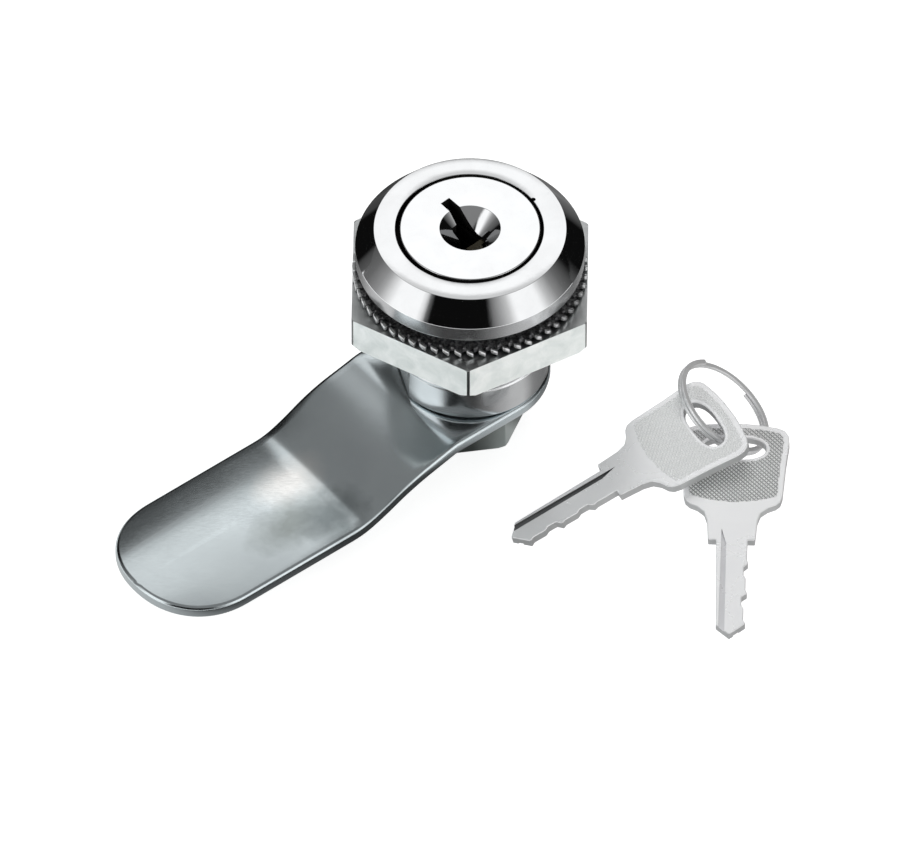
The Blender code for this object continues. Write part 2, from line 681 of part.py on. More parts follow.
def build_key_ring():
    """Split ring: almost two turns of flat wire lying on each other."""
    tilt, azimuth = math.radians(RING_TILT), math.radians(RING_TILT_AZIMUTH)
    normal = Vector((math.sin(tilt) * math.cos(azimuth), math.sin(tilt) * math.sin(azimuth), math.cos(tilt)))
    across = Vector((0, 1, 0)).cross(normal).normalized()
    along = normal.cross(across)
    centre = Vector(RING_CENTRE) * MM
    turns, steps, rise = 1.82, 40, 0.56 * MM
    count = int(turns * steps)
    frames = []
    for i in range(count + 1):
        share = i / count
        angle = math.radians(52) - share * turns * TURN
        out = across * math.cos(angle) + along * math.sin(angle)
        point = centre + out * RING_RADIUS + normal * (share - 0.5) * turns * rise
        frames.append((point, out, normal))
    a, b, c = 0.38 * MM, 0.25 * MM, 0.12 * MM
    section = (
        (-a + c, -b), (a - c, -b), (a, -b + c), (a, b - c),
        (a - c, b), (-a + c, b), (-a, b - c), (-a, -b + c),
    )
    return finished(swept("key_ring", frames, section), "nickel", centre, 50)


def main():
    clear_scene()
    build_housing()
    build_plug()
    for i in range(WAFER_COUNT):
        build_wafer(i)
        build_wafer_spring(i)
    build_stop_washer()
    build_cam()
    build_spring_washer()
    build_cam_nut()
    build_mounting_nut()
    build_lock_washer()
    build_key_ring()
    for i in range(len(KEY_PLACES)):
        build_key(i)


main()
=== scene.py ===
"""Cam lock with its two keys on a pale studio floor: a fine mesh and a finish for each piece.

Lengths are in metres; +Z points out of the face of the lock, which stands on its stud.
"""

import math

import bmesh
import bpy
from mathutils import Matrix, Vector


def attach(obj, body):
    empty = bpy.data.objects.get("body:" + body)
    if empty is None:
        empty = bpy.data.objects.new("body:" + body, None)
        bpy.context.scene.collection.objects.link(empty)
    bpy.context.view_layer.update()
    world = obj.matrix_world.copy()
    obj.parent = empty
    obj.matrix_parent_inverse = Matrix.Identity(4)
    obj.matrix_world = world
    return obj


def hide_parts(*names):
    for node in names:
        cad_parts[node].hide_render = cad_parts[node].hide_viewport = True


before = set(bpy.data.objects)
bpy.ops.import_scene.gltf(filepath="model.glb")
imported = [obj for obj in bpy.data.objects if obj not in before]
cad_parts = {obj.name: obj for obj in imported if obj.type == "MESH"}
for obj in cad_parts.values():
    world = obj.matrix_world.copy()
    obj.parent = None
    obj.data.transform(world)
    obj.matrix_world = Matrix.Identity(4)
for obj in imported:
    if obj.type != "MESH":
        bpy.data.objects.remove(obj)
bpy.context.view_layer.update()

MM = 0.001
TURN = 2 * math.pi
UP = Vector((0, 0, 1))

# Heights above the floor
FACE_Z = 37.6 * MM
GAP_TOP_Z = FACE_Z - 0.12 * MM
BEVEL_FOOT_Z = 34.25 * MM
SEAT_Z = 31.8 * MM
NUT_TOP_Z = 28.8 * MM
NUT_FOOT_Z = 23.4 * MM
BARREL_END_Z = 11.1 * MM
THREAD_TOP_Z = 31.3 * MM
THREAD_FOOT_Z = 16.9 * MM
CAM_FOOT_Z = 8.8 * MM

# Lock body
FACE_RADIUS = 13.12 * MM
FLANGE_RADIUS = 15.65 * MM
RECESS_RADIUS = 10.08 * MM
RECESS_SHIFT = 0.09 * MM
FACE_SHIFT = 0.14 * MM
RECESS_FLOOR_Z = 35.5 * MM
BORE_RADIUS = 7.15 * MM
POCKET_RADIUS = 8.6 * MM
GROOVE_RADIUS = 8.2 * MM
GROOVE_FOOT_Z = 23.2 * MM
GROOVE_TOP_Z = 35.1 * MM
THREAD_MAJOR_RADIUS = 11.0 * MM
THREAD_ROOT_RADIUS = 10.15 * MM
THREAD_PITCH = 1.5 * MM
THREAD_STEP = 0.06 * MM
PILOT_RADIUS = 10.95 * MM
FLAT_FROM_AXIS = 9.8 * MM
FLAT_AZIMUTH = math.radians(14)

NOTCH_RADIUS = 0.34 * MM
NOTCH_DEPTH = 1.2 * MM
NOTCH_PLACE = Vector((8.6, 5.3, 37.6)) * MM

# Plug
DISC_RADIUS = 9.6 * MM
CORE_RADIUS = 7.0 * MM
CORE_FOOT_Z = 12.8 * MM
CONE_RADIUS = 4.15 * MM
CONE_FOOT_Z = FACE_Z - 3.0 * MM
STUD_RADIUS = 3.9 * MM
TAIL_HALF = 4.0 * MM
TAIL_CORNER_RADIUS = 5.0 * MM
KEYWAY_AZIMUTH = math.radians(130.8)
KEYWAY_FOOT_Z = 19.0 * MM
WAFER_COUNT = 5
FIRST_WAFER_Z = 34.3 * MM
WAFER_PITCH = 2.5 * MM
SLOT_HEIGHT = 1.1 * MM
SPRING_OFFSET = -3.1 * MM
SPRING_POCKET_RADIUS = 0.85 * MM
POCKET_LENGTH = 6.8 * MM

# Nuts and lock washer
NUT_HALF_FLATS = 16.0 * MM
NUT_AZIMUTH = math.radians(-90.9)
NUT_BORE_RADIUS = 11.15 * MM
CAM_NUT_HALF_FLATS = 6.7 * MM
CAM_NUT_AZIMUTH = math.radians(9.0)
CAM_NUT_HEIGHT = 6.5 * MM
CAM_NUT_BORE_RADIUS = 4.15 * MM
TEETH = 60

# Cam
CAM_AZIMUTH = math.radians(218.5)
CAM_HALF_WIDTH = 11.0 * MM
CAM_THICKNESS = 2.0 * MM
CAM_TIP_CENTRE = 47.2 * MM
CAM_DROP = 5.75 * MM
CAM_LIFT = 0.50 * MM
CAM_WIDENING = 0.02
# Distance from the axis in mm, and fall per mm there
CAM_SLOPES = ((9.9, 0.0), (12.4, 0.25), (19.0, 0.305), (22.0, 0.345), (24.8, 0.30), (29.5, 0.0))
CAM_LIGHT = (0.74, 0.81, 0.83)
CAM_DARK = (0.69, 0.755, 0.78)
# Painted light on the cam, one painted highlight then two spots of painted shade: along and across the
# cam, half length, half width, strength, colour
CAM_PAINTED_LIGHT_SPOTS = (
    (30.5, -1.8, 5.2, 3.6, 1.0, (1.0, 1.0, 0.98)),
    (34.0, 4.4, 6.5, 3.6, 0.9, (0.36, 0.40, 0.39)),
    (29.6, 6.9, 4.8, 3.9, 0.95, (0.28, 0.32, 0.33)),
)

# Keys and ring
KEY_THICKNESS = 1.4 * MM
GROOVE_DEPTH = 0.35 * MM
# Tip's x and y in mm, then heading and lean in degrees
KEY_PLACES = ((5.83, -23.64, 28.97, 12.56), (35.08, -41.52, 88.02, 7.35))
KNURL_PITCH = 0.64 * MM
KNURL_STEP = 0.16 * MM
KNURL_START = (21.12 * MM, -7.36 * MM)
KNURL_HEIGHT = 0.12 * MM
KNURL_LIFT = 0.015 * MM
KNURL_SUNK = 0.10 * MM
KNURL_BORDER = 0.7 * MM
KNURL_RIM = 0.4 * MM
BIT_DEPTHS = (0.4, 0.9, 0.5, 1.1, 0.7)
RING_CENTRE = Vector((34.65, -3.68, 5.43)) * MM
RING_TILT = math.radians(37.8)
RING_TILT_AZIMUTH = math.radians(5.9)
RING_RADIUS = 7.3 * MM
RING_TURNS = 1.82
RING_RISE = 0.56 * MM
RING_START = math.radians(52)


# ---- meshes


def polar(radius, angle, z=0.0):
    """Point at a radius and an azimuth in radians."""
    return Vector((radius * math.cos(angle), radius * math.sin(angle), z))


def object_from(bm, name, smooth_degrees=35):
    """Object in the scene from bm, smooth but for creases over smooth_degrees."""
    bmesh.ops.recalc_face_normals(bm, faces=bm.faces)
    mesh = bpy.data.meshes.new(name)
    bm.to_mesh(mesh)
    bm.free()
    mesh.shade_smooth()
    mesh.set_sharp_from_angle(angle=math.radians(smooth_degrees))
    obj = bpy.data.objects.new(name, mesh)
    bpy.context.scene.collection.objects.link(obj)
    return obj


def resharpen(obj, degrees=35, flat_over=0.6):
    """Smooth shading with sharp creases; faces over flat_over square millimetres stay flat."""
    obj.data.shade_smooth()
    obj.data.set_sharp_from_angle(angle=math.radians(degrees))
    for face in obj.data.polygons:
        if face.area > flat_over * MM * MM:
            face.use_smooth = False


def revolved(name, profile, steps=192):
    """Solid of revolution about Z of a closed outline of (r, z)."""
    bm = bmesh.new()
    points = [bm.verts.new((r, 0.0, z)) for r, z in profile]
    edges = []
    for i, point in enumerate(points):
        following = points[(i + 1) % len(points)]
        if point.co.x > 0 or following.co.x > 0:
            edges.append(bm.edges.new((point, following)))
    bmesh.ops.spin(
        bm, geom=points + edges, axis=(0, 0, 1), cent=(0, 0, 0),
        angle=TURN, steps=steps, use_merge=True,
    )
    bmesh.ops.remove_doubles(bm, verts=bm.verts, dist=1e-7)
    return object_from(bm, name)


def eased(corners, radii, steps=4):
    """Closed outline of (r, z) with each corner rounded by its radius."""
    out = []
    count = len(corners)
    for i in range(count):
        p = Vector(corners[i])
        a = Vector(corners[i - 1]) - p
        b = Vector(corners[(i + 1) % count]) - p
        radius = radii[i]
        if radius <= 0:
            out.append(tuple(p))
            continue
        half = a.angle(b) / 2
        run = min(radius / math.tan(half), a.length * 0.49, b.length * 0.49)
        start = p + a.normalized() * run
        end = p + b.normalized() * run
        for k in range(steps + 1):
            t = k / steps
            q = start * (1 - t) ** 2 + p * 2 * t * (1 - t) + end * t * t
            out.append(tuple(q))
    return out


def prism(name, outline, low, high):
    """Closed outline of (x, y) raised from low to high."""
    bm = bmesh.new()
    face = bm.faces.new([bm.verts.new((x, y, low)) for x, y in outline])
    raised = bmesh.ops.extrude_face_region(bm, geom=[face])
    moved = [item for item in raised["geom"] if isinstance(item, bmesh.types.BMVert)]
    bmesh.ops.translate(bm, verts=moved, vec=(0, 0, high - low))
    return object_from(bm, name)


def settle(obj):
    """Applies the modifiers of obj to its mesh."""
    bpy.context.view_layer.update()
    evaluated = obj.evaluated_get(bpy.context.evaluated_depsgraph_get())
    mesh = bpy.data.meshes.new_from_object(evaluated)
    obj.modifiers.clear()
    obj.data = mesh


def combine(obj, other, operation="DIFFERENCE"):
    """Cuts other out of obj, or keeps what they share; other is used up."""
    modifier = obj.modifiers.new("cut", "BOOLEAN")
    modifier.operation = operation
    modifier.solver = "EXACT"
    modifier.object = other
    settle(obj)
    bpy.data.objects.remove(other, do_unlink=True)
    return obj


def round_edges(obj, width, segments=3, degrees=40):
    """Rounds the edges that are sharper than degrees."""
    rounding = obj.modifiers.new("edge", "BEVEL")
    rounding.width = width
    rounding.segments = segments
    rounding.limit_method = "ANGLE"
    rounding.angle_limit = math.radians(degrees)
    rounding.use_clamp_overlap = True
    settle(obj)
    resharpen(obj, 50)
    return obj


def bridge(bm, rings, closed=False):
    """Quads from each ring of vertices to the next; closed joins the last to the first."""
    following = rings[1:] + rings[:1] if closed else rings[1:]
    for first, second in zip(rings, following):
        for i in range(len(first)):
            j = (i + 1) % len(first)
            bm.faces.new((first[i], first[j], second[j], second[i]))


def swept(name, frames, section):
    """Bar whose cross-section runs through frames of (centre, outward axis, upward axis)."""
    bm = bmesh.new()
    rings = [[bm.verts.new(c + out * a + up * b) for a, b in section] for c, out, up in frames]
    bridge(bm, rings)
    bm.faces.new(rings[0])
    bm.faces.new(rings[-1])
    return object_from(bm, name, 50)


def along_keyway(s, q):
    """Point at the distance s along the keyway and q across it."""
    c, n = math.cos(KEYWAY_AZIMUTH), math.sin(KEYWAY_AZIMUTH)
    return (s * c + q * n, s * n - q * c)


def smooth_step(t):
    """Eased rise from 0 to 1."""
    t = min(1.0, max(0.0, t))
    return t * t * (3 - 2 * t)


# ---- finishes


class Finish:
    """Small helper that builds one node material."""

    def __init__(self, name, material=None):
        self.material = material or bpy.data.materials.new(name)
        self.material.use_nodes = True
        self.tree = self.material.node_tree
        self.shader = self.tree.nodes["Principled BSDF"]
        self.coords = self.add("ShaderNodeTexCoord").outputs["Object"]

    def add(self, kind, **values):
        node = self.tree.nodes.new(kind)
        for key, value in values.items():
            setattr(node, key, value)
        return node

    def link(self, source, target):
        self.tree.links.new(source, target)

    def stretched(self, scale, rotation):
        """The object's own coordinates, scaled and turned."""
        mapping = self.add("ShaderNodeMapping")
        mapping.inputs["Scale"].default_value = scale
        mapping.inputs["Rotation"].default_value = rotation
        self.link(self.coords, mapping.inputs["Vector"])
        return mapping.outputs["Vector"]

    def noise(self, per_mm, detail=4, rough=0.55, vector=None, distort=0.0):
        """Noise with per_mm waves to the millimetre."""
        node = self.add("ShaderNodeTexNoise")
        node.inputs["Scale"].default_value = per_mm * 1000
        node.inputs["Detail"].default_value = detail
        node.inputs["Roughness"].default_value = rough
        node.inputs["Distortion"].default_value = distort
        self.link(vector or self.coords, node.inputs["Vector"])
        return node.outputs["Fac"]

    def curve(self, source, low, high, to_low, to_high):
        """Maps low to to_low and high to to_high."""
        node = self.add("ShaderNodeMapRange")
        node.inputs["From Min"].default_value = low
        node.inputs["From Max"].default_value = high
        node.inputs["To Min"].default_value = to_low
        node.inputs["To Max"].default_value = to_high
        self.link(source, node.inputs["Value"])
        return node.outputs["Result"]

    def math(self, operation, a, b):
        node = self.add("ShaderNodeMath", operation=operation)
        for index, value in enumerate((a, b)):
            if isinstance(value, (int, float)):
                node.inputs[index].default_value = value
            else:
                self.link(value, node.inputs[index])
        return node.outputs[0]

    def mix(self, share, first, second):
        node = self.add("ShaderNodeMix", data_type="RGBA")
        self.link(share, node.inputs[0])
        for index, value in ((6, first), (7, second)):
            if isinstance(value, tuple):
                node.inputs[index].default_value = (*value, 1.0)
            else:
                self.link(value, node.inputs[index])
        return node.outputs[2]

    def radius(self):
        """Distance from the object's own Z axis."""
        flat = self.add("ShaderNodeVectorMath", operation="MULTIPLY")
        flat.inputs[1].default_value = (1, 1, 0)
        self.link(self.coords, flat.inputs[0])
        length = self.add("ShaderNodeVectorMath", operation="LENGTH")
        self.link(flat.outputs[0], length.inputs[0])
        return length.outputs["Value"]

    def spot(self, centre, azimuth, length, width):
        """Distance from a point of the plan, where 1 is the rim of an ellipse."""
        mapping = self.add("ShaderNodeMapping", vector_type="TEXTURE")
        mapping.inputs["Location"].default_value = centre
        mapping.inputs["Rotation"].default_value = (0, 0, azimuth)
        mapping.inputs["Scale"].default_value = (length, width, 1.0)
        self.link(self.coords, mapping.inputs["Vector"])
        away = self.add("ShaderNodeVectorMath", operation="LENGTH")
        self.link(mapping.outputs["Vector"], away.inputs[0])
        return away.outputs["Value"]

    def bump(self, height, strength, distance, before=None):
        node = self.add("ShaderNodeBump")
        node.inputs["Strength"].default_value = strength
        node.inputs["Distance"].default_value = distance
        self.link(height, node.inputs["Height"])
        if before is not None:
            self.link(before, node.inputs["Normal"])
        return node.outputs["Normal"]

    def done(self, colour, roughness, normal=None, metallic=1.0):
        for name, value in (("Base Color", colour), ("Roughness", roughness)):
            if isinstance(value, tuple):
                self.shader.inputs[name].default_value = (*value, 1.0)
            elif isinstance(value, (int, float)):
                self.shader.inputs[name].default_value = value
            else:
                self.link(value, self.shader.inputs[name])
        self.shader.inputs["Metallic"].default_value = metallic
        if normal is not None:
            self.link(normal, self.shader.inputs["Normal"])
        return self.material


def chrome_finish(name, base=(0.90, 0.91, 0.92), rough_range=(0.035, 0.075)):
    """Polished chrome with faint smudges and fine scratches."""
    look = Finish(name)
    smudge = look.noise(0.22, 5, 0.6, distort=0.4)
    scratches = look.noise(1.4, 3, 0.5, look.stretched((14, 1, 1), (0, 0, 0.6)))
    dull = tuple(c * 0.93 for c in base)
    colour = look.mix(look.curve(smudge, 0.35, 0.75, 0.0, 1.0), base, dull)
    smooth = look.curve(smudge, 0.3, 0.8, *rough_range)
    rough = look.math("ADD", smooth, look.curve(scratches, 0.55, 0.8, 0.0, 0.03))
    normal = look.bump(smudge, 0.04, 0.0002)
    return look.done(colour, rough, normal)


def zinc_finish(name, base, dark, rough_range, cast, along=0.0, metallic=1.0, cloud_scale=0.10):
    """Plated metal: clouds between two colours, and a grain that grows with cast."""
    look = Finish(name)
    grain = look.noise(1.2, 6, 0.65, look.stretched((1, 5, 1), (0, 0, -along)))
    clouds = look.noise(cloud_scale, 4, 0.55, distort=0.6)
    pits = look.noise(3.2, 4, 0.6)
    colour = look.mix(look.curve(clouds, 0.32, 0.68, 0.0, 1.0), base, dark)
    colour = look.mix(look.curve(grain, 0.45, 0.75, 0.0, 0.30), colour, dark)
    rough = look.math(
        "ADD",
        look.curve(clouds, 0.3, 0.7, *rough_range),
        look.curve(grain, 0.4, 0.7, 0.0, min(0.06, 0.5 * cast)),
    )
    normal = look.bump(pits, 0.25 * cast, 0.00005)
    normal = look.bump(grain, 0.15 * cast, 0.00006, normal)
    return look.done(colour, rough, normal, metallic)


def cam_finish(name):
    """Zinc plate with one painted highlight and two spots of painted shade just past the second bend.
    """
    material = zinc_finish(name, CAM_LIGHT, CAM_DARK, (0.14, 0.18), 0.12, CAM_AZIMUTH)
    look = Finish(name, material)
    shader_colour = look.shader.inputs["Base Color"]
    colour = shader_colour.links[0].from_socket
    edge = look.noise(0.35, 4, 0.6)
    # Paints the highlight and the shade spots into the plate's colour
    for u, w, length, width, strength, tint in CAM_PAINTED_LIGHT_SPOTS:
        place = polar(u * MM, CAM_AZIMUTH) + polar(w * MM, CAM_AZIMUTH + TURN / 4)
        away = look.spot(place, CAM_AZIMUTH, length * MM, width * MM)
        away = look.math("ADD", away, look.math("MULTIPLY", edge, 0.8))
        colour = look.mix(look.curve(away, 0.7, 1.7, strength, 0.0), colour, tint)
    look.link(colour, shader_colour)
    return material


def teeth_finish(name):
    """Dark phosphated steel, near white on the tips of the teeth."""
    look = Finish(name)
    radius = look.radius()
    grain = look.noise(2.5, 5, 0.6)
    tips = look.curve(radius, 15.62 * MM, 15.80 * MM, 0.0, 1.0)
    spread = look.curve(grain, 0.4, 0.62, 0.0, 1.0)
    dark = look.mix(spread, (0.13, 0.13, 0.135), (0.42, 0.42, 0.425))
    colour = look.mix(tips, dark, (0.93, 0.94, 0.94))
    rough = look.curve(grain, 0.3, 0.7, 0.28, 0.46)
    return look.done(colour, rough, look.bump(grain, 0.4, 0.00006))


def knurl_finish(name, valley_dirt_and_shade):
    """Nickel with darker valleys, a little dirt and much painted shade, from the height stored on the
    mesh.
    """
    look = Finish(name)
    grain = look.noise(1.6, 4, 0.6)
    ridge = look.add("ShaderNodeAttribute", attribute_name="ridge").outputs["Fac"]
    colour = look.mix(look.curve(ridge, 0.0, 0.6, 0.0, 1.0), valley_dirt_and_shade, (0.97, 0.97, 0.975))
    colour = look.mix(look.curve(grain, 0.5, 0.8, 0.0, 0.15), colour, valley_dirt_and_shade)
    rough = look.curve(grain, 0.3, 0.7, 0.28, 0.36)
    return look.done(colour, rough, look.bump(grain, 0.05, 0.00003), 0.3)


def gap_shade_finish(name):
    """Near-black painted shade for narrow gaps and recesses, where no light reaches."""
    look = Finish(name)
    grains = look.noise(3.0, 4, 0.6)
    colour = look.mix(grains, (0.004, 0.004, 0.004), (0.016, 0.015, 0.014))
    look.shader.inputs["Specular IOR Level"].default_value = 0.15
    rough = look.curve(grains, 0.3, 0.7, 0.55, 0.8)
    return look.done(colour, rough, look.bump(grains, 0.3, 0.00005), 0.0)


def put(obj, material):
    """Gives obj this one finish."""
    obj.data.materials.clear()
    obj.data.materials.append(material)
    return obj


def second_finish(obj, material, chosen):
    """Gives a further material to the faces that chosen(centre, normal) picks."""
    obj.data.materials.append(material)
    for face in obj.data.polygons:
        if chosen(face.center, face.normal):
            face.material_index = len(obj.data.materials) - 1
    return obj


def piece(obj, material, body, slot, *nodes):
    """Gives the mesh its finish and its body, in place of the solids in nodes."""
    put(obj, material)
    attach(obj, body)
    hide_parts(*nodes)
    return obj


# ---- lock body


def cut_grooves(body):
    """Two grooves of the bore, a quarter turn apart, where the ends of the wafers drop in."""
    low, high = -4.4 * MM, 3.7 * MM
    across = [low + (high - low) * i / 12 for i in range(13)]
    plan = [(math.sqrt(GROOVE_RADIUS ** 2 - q * q), q) for q in across]
    plan = [along_keyway(s, q) for s, q in plan + [(3.0 * MM, high), (3.0 * MM, low)]]
    for outline in (plan, [(y, -x) for x, y in plan]):
        combine(body, prism("wafer_groove", outline, GROOVE_FOOT_Z, GROOVE_TOP_Z))


def make_head():
    """Bevelled head with its face ring, the recess of the plug and a small notch."""
    corners = [
        (THREAD_ROOT_RADIUS, SEAT_Z), (FLANGE_RADIUS, SEAT_Z), (FLANGE_RADIUS, BEVEL_FOOT_Z),
        (FACE_RADIUS, FACE_Z), (RECESS_RADIUS, FACE_Z), (RECESS_RADIUS, RECESS_FLOOR_Z),
        (BORE_RADIUS, RECESS_FLOOR_Z), (BORE_RADIUS, THREAD_TOP_Z + 0.1 * MM),
        (THREAD_ROOT_RADIUS, THREAD_TOP_Z + 0.1 * MM),
    ]
    radii = [0, 0.35 * MM, 0.22 * MM, 0.10 * MM, 0.10 * MM, 0.05 * MM, 0.05 * MM, 0, 0]
    head = revolved("head", eased(corners, radii, 5), 256)
    for vert in head.data.vertices:
        if RECESS_RADIUS - 0.3 * MM < vert.co.xy.length < RECESS_RADIUS + 0.3 * MM:
            vert.co.x -= RECESS_SHIFT
            vert.co.y -= RECESS_SHIFT
        elif abs(vert.co.xy.length - FACE_RADIUS) < 0.4 * MM:
            vert.co.y -= FACE_SHIFT
    notch = bmesh.new()
    bmesh.ops.create_cone(
        notch, cap_ends=True, segments=20, depth=NOTCH_DEPTH,
        radius1=NOTCH_RADIUS, radius2=NOTCH_RADIUS,
    )
    bmesh.ops.translate(notch, vec=NOTCH_PLACE, verts=notch.verts)
    combine(head, object_from(notch, "notch"))
    cut_grooves(head)
    resharpen(head, 35, 8.0)
    return head


def thread_height(turns_along):
    """Radius of the thread above its root, as a share of its full height."""
    t = turns_along % 1.0
    ramp = min(t, 1 - t) * 2
    return smooth_step((ramp - 0.14) / 0.72)


def within_flats(radius, angle, flat):
    """The radius, cut back to the two flats that lie at the distance flat from the axis."""
    for side in (0, 1):
        c = math.cos(angle - FLAT_AZIMUTH - side * math.pi)
        if c > 0.2:
            radius = min(radius, flat / c)
    return radius


def make_barrel():
    """Threaded run, plain end, two flats, rear pocket and bore, as one closed skin of rings."""
    levels = []
    z = THREAD_TOP_Z + 0.15 * MM
    while z > THREAD_FOOT_Z - 1.3 * MM:
        levels.append(z)
        z -= THREAD_STEP
    levels += [THREAD_FOOT_Z - 1.5 * MM, BARREL_END_Z + 2.5 * MM, BARREL_END_Z + 0.45 * MM]
    flat_reach = math.acos(FLAT_FROM_AXIS / PILOT_RADIUS)
    angles = []
    for side in (0, 1):
        start = FLAT_AZIMUTH + side * math.pi
        angles += [start - flat_reach + 2 * flat_reach * k / 26 for k in range(26)]
        span = math.pi - 2 * flat_reach
        angles += [start + flat_reach + span * k / 118 for k in range(118)]
    bm = bmesh.new()
    rings = []
    height = THREAD_MAJOR_RADIUS - THREAD_ROOT_RADIUS
    for z in levels:
        top_fade = smooth_step((THREAD_TOP_Z - z) / (1.0 * MM))
        foot_fade = smooth_step((z - THREAD_FOOT_Z + 0.7 * MM) / (1.0 * MM))
        plain = PILOT_RADIUS - 0.12 * MM * smooth_step((z - BARREL_END_Z) / (30 * MM))
        ring = []
        for angle in angles:
            turns = z / THREAD_PITCH - angle / TURN
            thread = THREAD_ROOT_RADIUS + height * thread_height(turns) * top_fade
            radius = plain + (thread - plain) * foot_fade
            radius = within_flats(radius, angle, FLAT_FROM_AXIS)
            ring.append(bm.verts.new(polar(radius, angle, z)))
        rings.append(ring)
    for inset, z in ((0.10, 0.2), (0.22, 0.08), (0.40, 0.0)):
        ring = []
        for angle in angles:
            radius = within_flats(PILOT_RADIUS, angle, FLAT_FROM_AXIS)
            ring.append(bm.verts.new(polar(radius - inset * MM, angle, BARREL_END_Z + z * MM)))
        rings.append(ring)
    pocket_floor = CORE_FOOT_Z + 0.2 * MM
    for radius, z in (
        (POCKET_RADIUS + 0.1 * MM, BARREL_END_Z), (POCKET_RADIUS, BARREL_END_Z + 0.1 * MM),
        (POCKET_RADIUS, pocket_floor),
        (BORE_RADIUS, pocket_floor), (BORE_RADIUS, THREAD_TOP_Z + 0.15 * MM),
    ):
        rings.append([bm.verts.new(polar(radius, angle, z)) for angle in angles])
    bridge(bm, rings, closed=True)
    barrel = object_from(bm, "barrel")
    cut_grooves(barrel)
    resharpen(barrel, 70)
    return barrel


# ---- plug


def keyway_outline():
    """Plan of the keyway, with one long flank and a step for the key's groove."""
    shape = (
        (6.05, -0.05), (6.1, 1.50), (2.2, 1.52), (-0.6, 1.62), (-1.9, 1.50),
        (-1.6, 0.3), (-0.9, -0.35), (0.5, -0.85), (2.1, -1.25), (2.55, -1.1), (2.7, -0.15),
    )
    return [along_keyway(s * MM, q * MM) for s, q in shape]


def make_plug():
    """Face disc with a conical mouth, core with its slots and spring pockets, and a plain post
    for the tail and stud, which the cam, washer and nut hide."""
    corners = [
        (0.0, CONE_FOOT_Z), (1.15 * MM, CONE_FOOT_Z), (CONE_RADIUS, FACE_Z),
        (DISC_RADIUS, FACE_Z), (DISC_RADIUS, RECESS_FLOOR_Z + 0.15 * MM),
        (CORE_RADIUS, RECESS_FLOOR_Z + 0.15 * MM), (CORE_RADIUS, CORE_FOOT_Z),
        (STUD_RADIUS, CORE_FOOT_Z), (STUD_RADIUS, 0.0), (0.0, 0.0),
    ]
    radii = [0, 0.3 * MM, 0.10 * MM, 0.16 * MM, 0.05 * MM, 0, 0.1 * MM, 0, 0.5 * MM, 0]
    plug = revolved("plug_fine", eased(corners, radii, 4), 192)
    combine(plug, prism("keyway", keyway_outline(), KEYWAY_FOOT_Z, FACE_Z + 1 * MM))
    slot = [(7.6, -4.3), (7.6, 3.6), (-7.6, 3.6), (-7.6, -4.3)]
    plan = [along_keyway(s * MM, q * MM) for s, q in slot]
    lay_down = Matrix.Rotation(KEYWAY_AZIMUTH, 3, "Z") @ Matrix.Rotation(math.pi / 2, 3, "Y")
    x, y = along_keyway(-1.4 * MM, SPRING_OFFSET)
    for i in range(WAFER_COUNT):
        z = FIRST_WAFER_Z - i * WAFER_PITCH
        combine(plug, prism("slot", plan, z - SLOT_HEIGHT / 2, z + SLOT_HEIGHT / 2))
        pocket = bmesh.new()
        bmesh.ops.create_cone(
            pocket, cap_ends=True, segments=16, depth=POCKET_LENGTH,
            radius1=SPRING_POCKET_RADIUS, radius2=SPRING_POCKET_RADIUS,
        )
        bmesh.ops.rotate(pocket, cent=(0, 0, 0), matrix=lay_down, verts=pocket.verts)
        bmesh.ops.translate(pocket, vec=(x, y, z), verts=pocket.verts)
        combine(plug, object_from(pocket, "pocket"))
    resharpen(plug, 30)
    return plug


# ---- cam


def cam_outline():
    """Plan of the flat blank: a round end on the axis and a fuller one at the tip."""
    points = []
    for i in range(49):
        angle = math.pi / 2 + math.pi * i / 48
        points.append((CAM_HALF_WIDTH * math.cos(angle), CAM_HALF_WIDTH * math.sin(angle)))
    for i in range(57):
        angle = -math.pi / 2 + math.pi * i / 56
        c, n = math.cos(angle), math.sin(angle)
        x = CAM_TIP_CENTRE + CAM_HALF_WIDTH * math.copysign(abs(c) ** 0.93, c)
        points.append((x, CAM_HALF_WIDTH * math.copysign(abs(n) ** 0.93, n)))
    return points


def cam_slope(u):
    """Fall per unit of length at the distance u from the axis."""
    if u <= CAM_SLOPES[0][0] * MM or u >= CAM_SLOPES[-1][0] * MM:
        return 0.0
    for (u0, g0), (u1, g1) in zip(CAM_SLOPES, CAM_SLOPES[1:]):
        if u <= u1 * MM:
            return g0 + (g1 - g0) * smooth_step((u - u0 * MM) / ((u1 - u0) * MM))
    return 0.0


